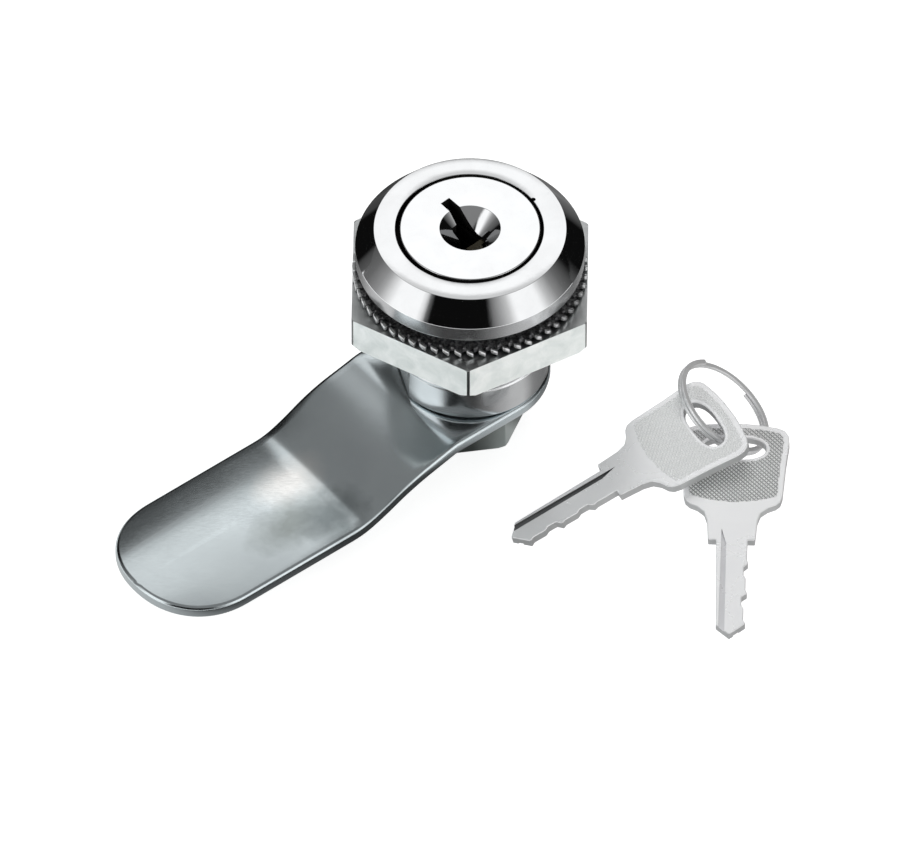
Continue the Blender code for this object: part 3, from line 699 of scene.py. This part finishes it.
def make_cam():
    """Flat blank with a square hole, cut into strips, bent twice along its length and crowned."""
    blank = prism("cam_fine", cam_outline(), 0.0, CAM_THICKNESS)
    round_edges(blank, 0.6 * MM, 4, 60)
    reach = math.acos(TAIL_HALF / TAIL_CORNER_RADIUS)
    hole = []
    for side in range(4):
        middle = side * TURN / 4
        for turn in (-reach, reach, TURN / 8):
            hole.append(tuple(polar(TAIL_CORNER_RADIUS + 0.12 * MM, middle + turn).xy))
    combine(blank, prism("hole", hole, -1 * MM, CAM_THICKNESS + 1 * MM))
    bm = bmesh.new()
    bm.from_mesh(blank.data)
    cuts = [(((9.5 + 0.45 * k) * MM, 0, 0), (1, 0, 0)) for k in range(56)]
    cuts += [((0, k * 1.05 * MM, 0), (0, 1, 0)) for k in range(-9, 10)]
    for place, across in cuts:
        everything = bm.verts[:] + bm.edges[:] + bm.faces[:]
        bmesh.ops.bisect_plane(bm, geom=everything, plane_co=place, plane_no=across)
    count = 480
    step = 60 * MM / count
    falls = [0.0]
    for i in range(count):
        falls.append(falls[-1] + cam_slope((i + 0.5) * step) * step)
    falls = [value * CAM_DROP / falls[-1] for value in falls]
    for vert in bm.verts:
        across = vert.co.y / MM
        flank = 0.0054 if across < 0 else 0.0026
        crown = flank * across ** 2 * MM * smooth_step((vert.co.x - 16 * MM) / (10 * MM))
        far = smooth_step((vert.co.x - 11 * MM) / (10 * MM))
        crown -= CAM_LIFT * far
        if across < 0:
            vert.co.y *= 1 + CAM_WIDENING * far
        place = max(0.0, vert.co.x) / step
        i = min(int(place), count - 1)
        fall = falls[i] + (falls[i + 1] - falls[i]) * (place - i)
        slope = math.atan((falls[i + 1] - falls[i]) / step) if vert.co.x > 0 else 0.0
        middle = vert.co.z - CAM_THICKNESS / 2
        vert.co = Vector((
            vert.co.x + middle * math.sin(slope), vert.co.y,
            CAM_THICKNESS / 2 - fall - crown + middle * math.cos(slope),
        ))
    turn = Matrix.Rotation(CAM_AZIMUTH, 3, "Z")
    bmesh.ops.rotate(bm, cent=(0, 0, 0), matrix=turn, verts=bm.verts)
    bmesh.ops.translate(bm, vec=(0, 0, CAM_FOOT_Z), verts=bm.verts)
    bpy.data.objects.remove(blank, do_unlink=True)
    return object_from(bm, "cam_fine", 40)


# ---- nuts and washers


def hex_nut(name, half_flats, turn, low, high, bore, low_cut, high_cut, edge, worn):
    """Hexagonal nut. Each cut is the height and depth of the turned corners at that end; worn is
    the radius of the upright corners."""
    corner = half_flats / math.cos(math.pi / 6)
    inset = worn / math.cos(math.pi / 6)
    outline = []
    for i in range(6):
        middle = turn + i * TURN / 6
        for share in (-0.5, -0.3, -0.1, 0.1, 0.3, 0.5):
            place = polar(corner - inset, middle) + polar(worn, middle + share * TURN / 6)
            outline.append(tuple(place.xy))
    nut = prism(name, outline, low, high)
    reach = corner + 0.3 * MM
    low_rim, high_rim = reach - low_cut[1], reach - high_cut[1]
    below, above = low - 1 * MM, high + 1 * MM
    profile = [
        (0.0, below), (low_rim - 1 * MM, below), (low_rim, low), (reach, low + low_cut[0]),
        (reach, high - high_cut[0]), (high_rim, high), (high_rim - 1 * MM, above), (0.0, above),
    ]
    combine(nut, revolved("turned", profile, 144), "INTERSECT")
    lead = 0.6 * MM
    mouth = bore + lead + 1 * MM
    hole = (
        (0.0, below), (mouth, below), (bore, low + lead),
        (bore, high - lead), (mouth, above), (0.0, above),
    )
    combine(nut, revolved("bore", hole, 144))
    return round_edges(nut, edge, 3, 25)


def make_lock_washer():
    """Flat washer keyed on the barrel's flats, with teeth twisted out of its plane."""
    low, high, twist = NUT_TOP_Z + 0.45 * MM, NUT_TOP_Z + 1.15 * MM, 0.32 * MM
    root, tip, inner, bore = 15.2 * MM, 16.05 * MM, 14.2 * MM, 11.2 * MM
    flank = (root + tip) / 2
    bm = bmesh.new()
    step = TURN / TEETH
    stations = []
    for i in range(TEETH):
        for share, radius, tilt in (
            (-0.36, root, 0.15), (-0.31, flank, 0.8), (-0.26, tip, 1.0), (0.0, tip + 0.02 * MM, 0.0),
            (0.26, tip, -1.0), (0.31, flank, -0.8), (0.36, root, -0.15),
        ):
            stations.append((radius, (i + share) * step, tilt * twist))
    inner_ring = [(inner, a, 0.0) for _, a, _ in stations]
    flat = FLAT_FROM_AXIS + 0.15 * MM
    bore_ring = [(within_flats(bore, a, flat), a, 0.0) for _, a, _ in stations]
    loops = []
    for ring, z in (
        (bore_ring, low), (inner_ring, low), (stations, low),
        (stations, high), (inner_ring, high), (bore_ring, high),
    ):
        loops.append([bm.verts.new(polar(r, a, z + tilt)) for r, a, tilt in ring])
    bridge(bm, loops, closed=True)
    return round_edges(object_from(bm, "lock_washer_fine", 35), 0.05 * MM, 1, 50)


def make_spring_washer():
    """One turn of square wire with a gap, and a small rise from end to end."""
    low, rise, inner, outer, thick = 6.7 * MM, 0.25 * MM, 4.3 * MM, 6.8 * MM, 1.6 * MM
    count, start, span = 120, math.radians(250), math.radians(346)
    frames = []
    for i in range(count + 1):
        angle = start + span * i / count
        centre = polar((inner + outer) / 2, angle, low + thick / 2 + rise * i / count)
        frames.append((centre, polar(1.0, angle), UP))
    a, b, c = (outer - inner) / 2, thick / 2, 0.15 * MM
    section = (
        (-a + c, -b), (a - c, -b), (a, -b + c), (a, b - c),
        (a - c, b), (-a + c, b), (-a, b - c), (-a, -b + c),
    )
    return swept("spring_washer_fine", frames, section)


# ---- keys and ring


def key_outline():
    """Key seen from above: tip at the origin, back of the blade on +Y, bits on -Y."""
    back = [
        (0.0, -0.1), (1.6, 1.75), (15.65, 2.1), (15.65, 3.2), (19.0, 3.45), (20.3, 3.85),
        (21.1, 4.8), (21.6, 5.9), (22.2, 6.5), (23.2, 6.75), (28.5, 7.1),
        (32.0, 7.45), (33.2, 7.3), (34.0, 6.75), (34.4, 5.9),
        (34.8, 3.8), (35.0, 1.6), (35.0, -1.6),
    ]
    bits = []
    for i, depth in enumerate(BIT_DEPTHS):
        place = 13.0 - WAFER_PITCH / MM * i
        bits.append((place + 0.75, -2.55 + 0.84 * depth))
        bits.append((place - 0.55, -2.55 + 0.86 * depth))
        bits.append((place - 1.15, -2.55 + max(0.15, 0.86 * depth - 0.35)))
    front = [(x, -y) for x, y in back[3:-2]]
    front = front[::-1] + [(15.65, -2.2), (14.6, -2.2)]
    tip = [(0.7, -0.95)]
    return [(x * MM, y * MM) for x, y in back + front + bits + tip]


def key_hole_outline():
    """Oblong slot of the bow for the ring."""
    points = []
    for i in range(56):
        angle = TURN * i / 56
        c, n = math.cos(angle), math.sin(angle)
        x = 30.9 + 1.85 * math.copysign(abs(c) ** 0.9, c)
        y = 4.3 * math.copysign(abs(n) ** 0.75, n)
        points.append((x * MM, y * MM))
    return points


def key_pose(index):
    """Where a key lies: its tip on the floor and its bow raised by the ring."""
    x, y, yaw, pitch = KEY_PLACES[index]
    heading = Matrix.Rotation(math.radians(yaw), 4, "Z")
    lean = Matrix.Rotation(-math.radians(pitch), 4, "Y")
    return Matrix.Translation((x * MM, y * MM, 0.03 * MM)) @ heading @ lean


def make_key(index):
    """Blade and bow with a groove in both faces, laid where the key rests."""
    key = prism(f"key_{index + 1}_fine", key_outline(), 0.0, KEY_THICKNESS)
    combine(key, prism("key_hole", key_hole_outline(), -1 * MM, KEY_THICKNESS + 1 * MM))
    round_edges(key, 0.12 * MM, 2, 30)
    for low, high, floor, top in (
        (0.5, 1.4, KEY_THICKNESS - GROOVE_DEPTH, KEY_THICKNESS + 1 * MM),
        (-1.4, -0.65, -1 * MM, GROOVE_DEPTH),
    ):
        plan = ((-4.5, low), (15.0, low + 0.2), (17.5, high), (-4.5, high))
        combine(key, prism("groove", [(x * MM, y * MM) for x, y in plan], floor, top))
    resharpen(key, 40)
    key.data.transform(key_pose(index))
    return key


def outline_distance(x, y, outline):
    """Distance in metres to a closed outline, and whether the point lies inside it."""
    best, inside = 1.0, False
    for (x0, y0), (x1, y1) in zip(outline, outline[1:] + outline[:1]):
        dx, dy = x1 - x0, y1 - y0
        t = min(1.0, max(0.0, ((x - x0) * dx + (y - y0) * dy) / (dx * dx + dy * dy)))
        best = min(best, math.hypot(x - x0 - t * dx, y - y0 - t * dy))
        if (y0 > y) != (y1 > y) and x < x0 + (y - y0) * dx / dy:
            inside = not inside
    return best, inside


def make_knurl(index):
    """Cross-hatched sheet on the top of a key's bow, inside a plain border."""
    outline = [point for point in key_outline() if point[0] > 18 * MM]
    hole = key_hole_outline()
    start, side = KNURL_START
    points = {}
    for i in range(87):
        for j in range(93):
            x, y = start + i * KNURL_STEP, side + j * KNURL_STEP
            edge, inside = outline_distance(x, y, outline)
            rim, in_hole = outline_distance(x, y, hole)
            arc = (21.9 + 0.030 * (y / MM) ** 2) * MM
            if inside and edge > KNURL_BORDER and not in_hole and rim > KNURL_RIM and x > arc:
                one = abs((x + y) / KNURL_PITCH % 1.0 - 0.5)
                other = abs((x - y) / KNURL_PITCH % 1.0 - 0.5)
                rise = KNURL_HEIGHT * 2 * min(one, other)
                points[i, j] = (x, y, KEY_THICKNESS + KNURL_LIFT + rise)
    bm = bmesh.new()
    layer = bm.verts.layers.float.new("ridge")
    verts = {}
    for i, j in points:
        cell = [(i, j), (i + 1, j), (i + 1, j + 1), (i, j + 1)]
        if all(corner in points for corner in cell):
            for corner in cell:
                if corner not in verts:
                    verts[corner] = bm.verts.new(points[corner])
                    rise = points[corner][2] - KEY_THICKNESS
                    verts[corner][layer] = rise / KNURL_HEIGHT - 0.15
            bm.faces.new([verts[corner] for corner in cell])
    raised = bmesh.ops.extrude_face_region(bm, geom=bm.faces[:])
    for item in raised["geom"]:
        if isinstance(item, bmesh.types.BMVert):
            item.co.z = KEY_THICKNESS - KNURL_SUNK
    bm.transform(key_pose(index))
    return object_from(bm, f"key_{index + 1}_knurl", 20)


def make_key_ring():
    """Split ring: nearly two turns of flat wire, tilted through the holes of both keys."""
    normal = Vector((
        math.sin(RING_TILT) * math.cos(RING_TILT_AZIMUTH),
        math.sin(RING_TILT) * math.sin(RING_TILT_AZIMUTH),
        math.cos(RING_TILT),
    ))
    across = Vector((0, 1, 0)).cross(normal).normalized()
    along = normal.cross(across)
    count = int(RING_TURNS * 160)
    frames = []
    for i in range(count + 1):
        share = i / count
        angle = RING_START - share * RING_TURNS * TURN
        out = across * math.cos(angle) + along * math.sin(angle)
        rise = normal * (share - 0.5) * RING_TURNS * RING_RISE
        frames.append((RING_CENTRE + out * RING_RADIUS + rise, out, normal))
    a, b, c = 0.38 * MM, 0.25 * MM, 0.12 * MM
    e = c * 0.3
    section = (
        (-a + c, -b), (a - c, -b), (a - e, -b + e), (a, -b + c), (a, b - c), (a - e, b - e),
        (a - c, b), (-a + c, b), (-a + e, b - e), (-a, b - c), (-a, -b + c), (-a + e, -b + e),
    )
    return swept("key_ring_fine", frames, section)


# ---- assembly


def in_recess(centre, normal):
    """Faces of the head down in its recess or its notch."""
    from_notch = (centre - NOTCH_PLACE).xy.length
    inside = centre.xy.length < RECESS_RADIUS + 2 * RECESS_SHIFT or from_notch < NOTCH_RADIUS + 0.1 * MM
    return centre.z < GAP_TOP_Z and inside


def on_band(centre, normal):
    """Faces of the head's upright flange band."""
    return centre.z < BEVEL_FOOT_Z - 0.1 * MM and centre.xy.length > FLANGE_RADIUS - 0.2 * MM


def in_plug_gap(centre, normal):
    """Faces round the rim of the plug's disc, in the keyway and below the cone."""
    if not CORE_FOOT_Z < centre.z < GAP_TOP_Z:
        return False
    on_rim = centre.xy.length > DISC_RADIUS - 0.05 * MM
    return on_rim or abs(normal.z) < 0.3 or centre.z < CONE_FOOT_Z - 0.1 * MM


def on_nut_corner(centre, normal):
    """Faces of the mounting nut's rounded upright corners."""
    if abs(normal.z) >= 0.5:
        return False
    sixths = normal.xy.angle_signed(Vector((0, -1))) * 6 / TURN
    return abs((sixths + 0.5) % 1 - 0.5) < 0.4


chrome = chrome_finish("chrome_body_look", (0.86, 0.87, 0.88))
chrome_plug = chrome_finish("chrome_plug_look")
gap_painted_shade = gap_shade_finish("gap_painted_shade_look")
cam_zinc = cam_finish("cam_look")
turned_zinc = zinc_finish(
    "turned_face_look", (0.80, 0.82, 0.82), (0.58, 0.60, 0.60), (0.26, 0.36), 0.8
)
# Dark zinc for the mounting nut's rounded upright corners
nut_dark_corner = zinc_finish("nut_dark_corner_look", (0.12, 0.125, 0.125), (0.30, 0.31, 0.31), (0.40, 0.50), 0.8)
nut_zinc = zinc_finish(
    "nut_look", (0.97, 0.99, 0.98), (0.76, 0.80, 0.79), (0.32, 0.46), 1.0, 0.0, 0.35, 0.35
)
small_zinc = zinc_finish("small_parts_look", (0.52, 0.57, 0.55), (0.43, 0.48, 0.47), (0.26, 0.36), 0.6)
nickel = zinc_finish(
    "nickel_look", (0.97, 0.97, 0.98), (0.93, 0.93, 0.945), (0.22, 0.30), 0.005, 0.0, 0.35
)
# Painted shade in the key's groove, slight, for key 2
key_2_groove_shade = zinc_finish(
    "key_2_groove_shade_look", (0.84, 0.84, 0.86), (0.76, 0.76, 0.78), (0.22, 0.30), 0.005, 0.0, 0.4
)
# Painted shade: a darker copy of the nickel for the keys' upright side walls
key_side_painted_shade = zinc_finish(
    "key_side_painted_shade_look", (0.60, 0.605, 0.61), (0.46, 0.465, 0.47), (0.26, 0.36), 0.1, 0.0, 0.6
)
# Painted shade in the key's groove, dark, for key 1
key_1_groove_shade = zinc_finish(
    "key_1_groove_shade_look", (0.20, 0.20, 0.205), (0.13, 0.13, 0.135), (0.26, 0.36), 0.1, 0.0, 0.4
)
ring_wire = zinc_finish(
    "ring_wire_look", (0.95, 0.95, 0.96), (0.80, 0.80, 0.81), (0.18, 0.26), 0.05, 0.0, 0.5
)
# Painted shade: brass darkened to near black, as the wafers lie in shade down the keyway
wafer_painted_shade = zinc_finish("wafer_painted_shade_look", (0.13, 0.115, 0.085), (0.07, 0.062, 0.045), (0.40, 0.55), 0.5)
wire = zinc_finish("spring_look", (0.58, 0.59, 0.61), (0.45, 0.46, 0.48), (0.22, 0.32), 0.4)

head = piece(make_head(), chrome, "lock_body", "chrome_body", "housing")
# Painted shade: near black on the faces down in the recess and the notch
second_finish(head, gap_painted_shade, in_recess)
second_finish(head, chrome_finish("band_look", (0.84, 0.85, 0.86), (0.17, 0.23)), on_band)
barrel_chrome = chrome_finish("barrel_look", (0.86, 0.87, 0.88), (0.13, 0.19))
piece(make_barrel(), barrel_chrome, "lock_body", "chrome_body", "housing")
plug = piece(make_plug(), chrome_plug, "plug_and_cam", "chrome_plug", "plug")
# Painted shade: near black round the disc's rim, in the keyway and below the cone
second_finish(plug, gap_painted_shade, in_plug_gap)
piece(make_cam(), cam_zinc, "plug_and_cam", "zinc_steel", "cam")
piece(make_spring_washer(), small_zinc, "plug_and_cam", "zinc_steel", "spring_washer")
nut = piece(
    hex_nut(
        "mounting_nut_fine", NUT_HALF_FLATS, NUT_AZIMUTH, NUT_FOOT_Z, NUT_TOP_Z, NUT_BORE_RADIUS,
        (0.9 * MM, 0.9 * MM), (0.35 * MM, 0.5 * MM), 0.2 * MM, 0.5 * MM,
    ),
    nut_zinc, "mounting_nut", "pale_zinc", "mounting_nut",
)
second_finish(nut, turned_zinc, lambda centre, normal: abs(normal.z) > 0.3)
second_finish(nut, nut_dark_corner, on_nut_corner)
piece(
    hex_nut(
        "cam_nut_fine", CAM_NUT_HALF_FLATS, CAM_NUT_AZIMUTH, 0.0, CAM_NUT_HEIGHT, CAM_NUT_BORE_RADIUS,
        (0.5 * MM, 0.75 * MM), (0.9 * MM, 1.3 * MM), 0.12 * MM, 0.25 * MM,
    ),
    small_zinc, "plug_and_cam", "zinc_steel", "cam_nut",
)
piece(make_lock_washer(), teeth_finish("teeth_look"), "lock_washer", "dark_steel", "lock_washer")
piece(make_key_ring(), ring_wire, "key_ring", "nickel", "key_ring")
# For each key, painted shade: the knurl's valley colour and the finish of its groove
for number, valley_dirt_and_shade, trough in (
    (0, (0.74, 0.75, 0.75), key_1_groove_shade), (1, (0.12, 0.125, 0.125), key_2_groove_shade),
):
    node = f"key_{number + 1}"
    key = piece(make_key(number), nickel, node, "nickel", node)
    level = key_pose(number).inverted()
    # Painted shade on the key's upright side walls
    second_finish(key, key_side_painted_shade, lambda centre, normal: abs((level.to_3x3() @ normal).z) < 0.35)
    # Painted shade on the faces of the key's groove
    second_finish(
        key, trough,
        lambda centre, normal: 0.4 * MM < (level @ centre).y < 1.5 * MM
        and KEY_THICKNESS - 0.4 * MM < (level @ centre).z < KEY_THICKNESS - 0.04 * MM,
    )
    piece(make_knurl(number), knurl_finish(f"knurl_{number + 1}_look", valley_dirt_and_shade), node, "nickel", node)

for node, material in (
    [(f"wafer_{i + 1}", wafer_painted_shade) for i in range(WAFER_COUNT)]
    + [(f"wafer_spring_{i + 1}", wire) for i in range(WAFER_COUNT)]
    + [("stop_washer", small_zinc)]
):
    put(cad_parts[node], material)

# ---- studio

# Azimuth in degrees, and strength of the light from there
LOW_LIGHT = (
    (0, 0.15), (9, 0.07), (15, 0.004), (48, 0.004), (60, 0.08), (120, 0.08), (126, 0.004), (147, 0.004),
    (151, 0.075), (168, 0.15), (180, 0.30), (185, 0.42), (193, 0.80), (199, 1.10), (222, 1.10),
    (227, 0.75), (230, 0.15), (234, 0.004), (287, 0.004), (291, 0.17), (300, 0.42), (306, 0.62),
    (313, 1.10), (335, 1.10), (343, 0.60), (352, 0.28), (360, 0.15),
)
CARD_BACK = (
    (2, 0.10), (8, 0.06), (11, 0.03), (15, 0.004), (45, 0.004), (52, 0.08), (62, 0.14), (74, 0.30),
    (90, 0.40), (100, 0.25), (109, 0.10), (116, 0.06), (124, 0.05), (128, 0.004), (158, 0.004),
    (161, 0.06), (168, 0.10),
)
FLOOR_CARD = (
    (0, 0.20), (15, 0.17), (45, 0.30), (60, 0.20), (90, 0.06), (110, 0.05), (128, 0.10), (142, 0.17),
    (158, 0.30), (174, 0.54), (190, 0.62), (206, 0.62), (222, 0.50), (236, 0.10), (246, 0.05),
    (274, 0.05), (290, 0.18), (302, 0.36), (318, 0.50), (334, 0.52), (350, 0.24),
)
SKY_DARK = 0.22
# Elevation in degrees and strength, behind the lock and at its right
BACK_BOX = ((42, 0.0), (44.5, 1.12), (50, 1.12), (52, 0.70), (62, 0.62), (72, 0.30))
SIDE_BOX = ((42, 0.0), (45, 0.85), (60, 0.80), (64, 0.50), (72, 0.30))

DOME_RADIUS = 0.6
DOME_FOOT_Z = 0.02
CARD_DISTANCE = 0.070
CARD_HEIGHT = 37.5 * MM
FLOOR_DISC_RADIUS = 0.115
FLOOR_DISC_FADE = (0.075, 0.110)

VIEW_WIDTH = 125.0342 * MM
VIEW_TARGET = Vector((-1.78, -3.17, 0.0)) * MM
VIEW_ELEVATION = math.radians(47.5)
VIEW_DISTANCE = 4.2


def floor_finish():
    """Plain pale paper that shines a little, so that it stays white."""
    look = Finish("floor_look")
    haze = look.noise(0.004, 3, 0.5)
    colour = look.mix(haze, (0.60, 0.60, 0.605), (0.62, 0.62, 0.62))
    look.shader.inputs["Emission Color"].default_value = (1, 1, 1, 1)
    look.shader.inputs["Emission Strength"].default_value = 0.78
    return look.done(colour, 0.6, None, 0.0)


def make_floor():
    """Flat floor just under the lock's foot."""
    bm = bmesh.new()
    bmesh.ops.create_grid(bm, x_segments=8, y_segments=8, size=6.0)
    floor = put(object_from(bm, "studio_floor"), floor_finish())
    floor.location.z = -0.02 * MM


def glow(name):
    """Finish that only shines; the caller links its strength."""
    look = Finish(name)
    look.done((0, 0, 0), 1.0, None, 0.0)
    look.shader.inputs["Specular IOR Level"].default_value = 0.0
    look.shader.inputs["Emission Color"].default_value = (1, 1, 1, 1)
    look.material.cycles.emission_sampling = "NONE"
    return look


def only_reflected(card):
    """Makes card a studio piece that only reflections see."""
    card.visible_camera = False
    card.visible_diffuse = False
    card.visible_shadow = False


def between(table, x):
    """Value at x on the straight lines between the rows of the table."""
    for (x0, y0), (x1, y1) in zip(table, table[1:]):
        if x <= x1:
            return y0 + (y1 - y0) * (x - x0) / (x1 - x0)
    return table[-1][1]


def dome_light(azimuth, elevation):
    """Strength of the studio's surround towards a direction in degrees."""
    low = between(LOW_LIGHT, azimuth % 360)
    back = smooth_step((azimuth - 68) / 6) * smooth_step((130 - azimuth) / 4)
    bright = between(BACK_BOX, elevation)
    side = between(SIDE_BOX, elevation)
    lean = smooth_step((azimuth - 97) / 8)
    sky = SKY_DARK + back * max(0.0, bright + (side - bright) * lean - SKY_DARK)
    return low + (sky - low) * smooth_step((elevation - 42) / 2)


def make_dome():
    """Surround with soft boxes, dark gaps and a dim ceiling."""
    bm = bmesh.new()
    layer = bm.verts.layers.float.new("strength")
    rows = []
    for elevation in range(0, 90, 2):
        row = []
        for azimuth in range(0, 360, 2):
            e = math.radians(elevation)
            place = polar(DOME_RADIUS * math.cos(e), math.radians(azimuth), DOME_RADIUS * math.sin(e))
            vert = bm.verts.new(place)
            vert[layer] = dome_light(azimuth, elevation)
            row.append(vert)
        rows.append(row)
    bridge(bm, rows)
    cap = bm.faces.new(rows[-1])
    for vert in cap.verts:
        vert[layer] = SKY_DARK
    look = glow("dome_look")
    strength = look.add("ShaderNodeAttribute", attribute_name="strength")
    look.link(strength.outputs["Fac"], look.shader.inputs["Emission Strength"])
    dome = put(object_from(bm, "dome"), look.material)
    dome.location.z = DOME_FOOT_Z
    only_reflected(dome)


def ramp_round(look, table):
    """Strength by azimuth about the object's own Z axis."""
    turn = look.add("ShaderNodeTexGradient", gradient_type="RADIAL")
    look.link(look.coords, turn.inputs["Vector"])
    ramp = look.add("ShaderNodeValToRGB")
    stops = sorted(((azimuth / 360 + 0.5) % 1.0, value) for azimuth, value in table)
    elements = ramp.color_ramp.elements
    while len(elements) > 1:
        elements.remove(elements[-1])
    elements[0].position = stops[0][0]
    for place, value in stops[1:]:
        elements.new(place)
    for element, (place, value) in zip(elements, stops):
        element.color = (value / 2, value / 2, value / 2, 1)
    look.link(turn.outputs["Fac"], ramp.inputs["Fac"])
    return look.math("MULTIPLY", ramp.outputs["Color"], 2.0)


def back_card():
    """Upright card round the back of the lock, shaded by azimuth."""
    look = glow("card_back_look")
    look.link(ramp_round(look, CARD_BACK), look.shader.inputs["Emission Strength"])
    bm = bmesh.new()
    rows = []
    for azimuth in range(3, 169, 3):
        foot = polar(CARD_DISTANCE, math.radians(azimuth))
        rows.append((bm.verts.new(foot), bm.verts.new(foot + UP * CARD_HEIGHT)))
    for a, b in zip(rows, rows[1:]):
        bm.faces.new((a[0], b[0], b[1], a[1]))
    only_reflected(put(object_from(bm, "card_back"), look.material))


def floor_card():
    """Disc under the lock, shaded by azimuth, that fades out with distance."""
    look = Finish("floor_card_look")
    shine = look.add("ShaderNodeEmission")
    look.link(ramp_round(look, FLOOR_CARD), shine.inputs["Strength"])
    share = look.curve(look.radius(), *FLOOR_DISC_FADE, 1.0, 0.0)
    clear = look.add("ShaderNodeBsdfTransparent")
    mixed = look.add("ShaderNodeMixShader")
    look.link(share, mixed.inputs[0])
    look.link(clear.outputs[0], mixed.inputs[1])
    look.link(shine.outputs[0], mixed.inputs[2])
    look.link(mixed.outputs[0], look.tree.nodes["Material Output"].inputs["Surface"])
    look.material.cycles.emission_sampling = "NONE"
    bm = bmesh.new()
    bmesh.ops.create_circle(bm, cap_ends=True, segments=96, radius=FLOOR_DISC_RADIUS)
    card = put(object_from(bm, "floor_card"), look.material)
    card.location.z = -0.01 * MM
    only_reflected(card)


def fill_light(name, azimuth, elevation, colour, power):
    """Broad light for the matt zinc; polished pieces don't mirror it."""
    data = bpy.data.lights.new(name, "AREA")
    data.size = 0.5
    data.energy = power
    data.color = colour
    light = bpy.data.objects.new(name, data)
    a, e = math.radians(azimuth), math.radians(elevation)
    away = Vector((math.cos(e) * math.cos(a), math.cos(e) * math.sin(a), math.sin(e)))
    light.location = away * 0.8
    light.rotation_euler = away.to_track_quat("Z", "Y").to_euler()
    light.visible_glossy = False
    light.visible_camera = False
    bpy.context.scene.collection.objects.link(light)


def make_studio():
    """Floor, soft surround, reflecting cards and three broad lights."""
    make_floor()
    world = bpy.data.worlds.new("studio")
    bpy.context.scene.world = world
    world.use_nodes = True
    background = world.node_tree.nodes["Background"]
    background.inputs["Color"].default_value = (1, 1, 1, 1)
    background.inputs["Strength"].default_value = 0.28
    make_dome()
    back_card()
    floor_card()
    fill_light("fill_left", 225, 22, (0.93, 1.0, 1.0), 2.3)
    fill_light("fill_right", 315, 22, (1.0, 1.0, 0.95), 1.9)
    fill_light("fill_back", 90, 65, (1.0, 1.0, 1.0), 2.6)
    view = bpy.context.scene.view_settings
    view.view_transform = "Standard"
    view.look = "None"
    view.exposure = 0.0


def make_camera():
    """Long lens from the front, looking down on the face of the lock."""
    data = bpy.data.cameras.new("camera")
    data.sensor_width = 36
    data.lens = data.sensor_width * VIEW_DISTANCE / VIEW_WIDTH
    data.clip_end = 20
    camera = bpy.data.objects.new("camera", data)
    away = Vector((0, -math.cos(VIEW_ELEVATION), math.sin(VIEW_ELEVATION)))
    camera.location = VIEW_TARGET + away * VIEW_DISTANCE
    camera.rotation_euler = away.to_track_quat("Z", "Y").to_euler()
    bpy.context.scene.collection.objects.link(camera)
    bpy.context.scene.camera = camera


make_studio()
make_camera()
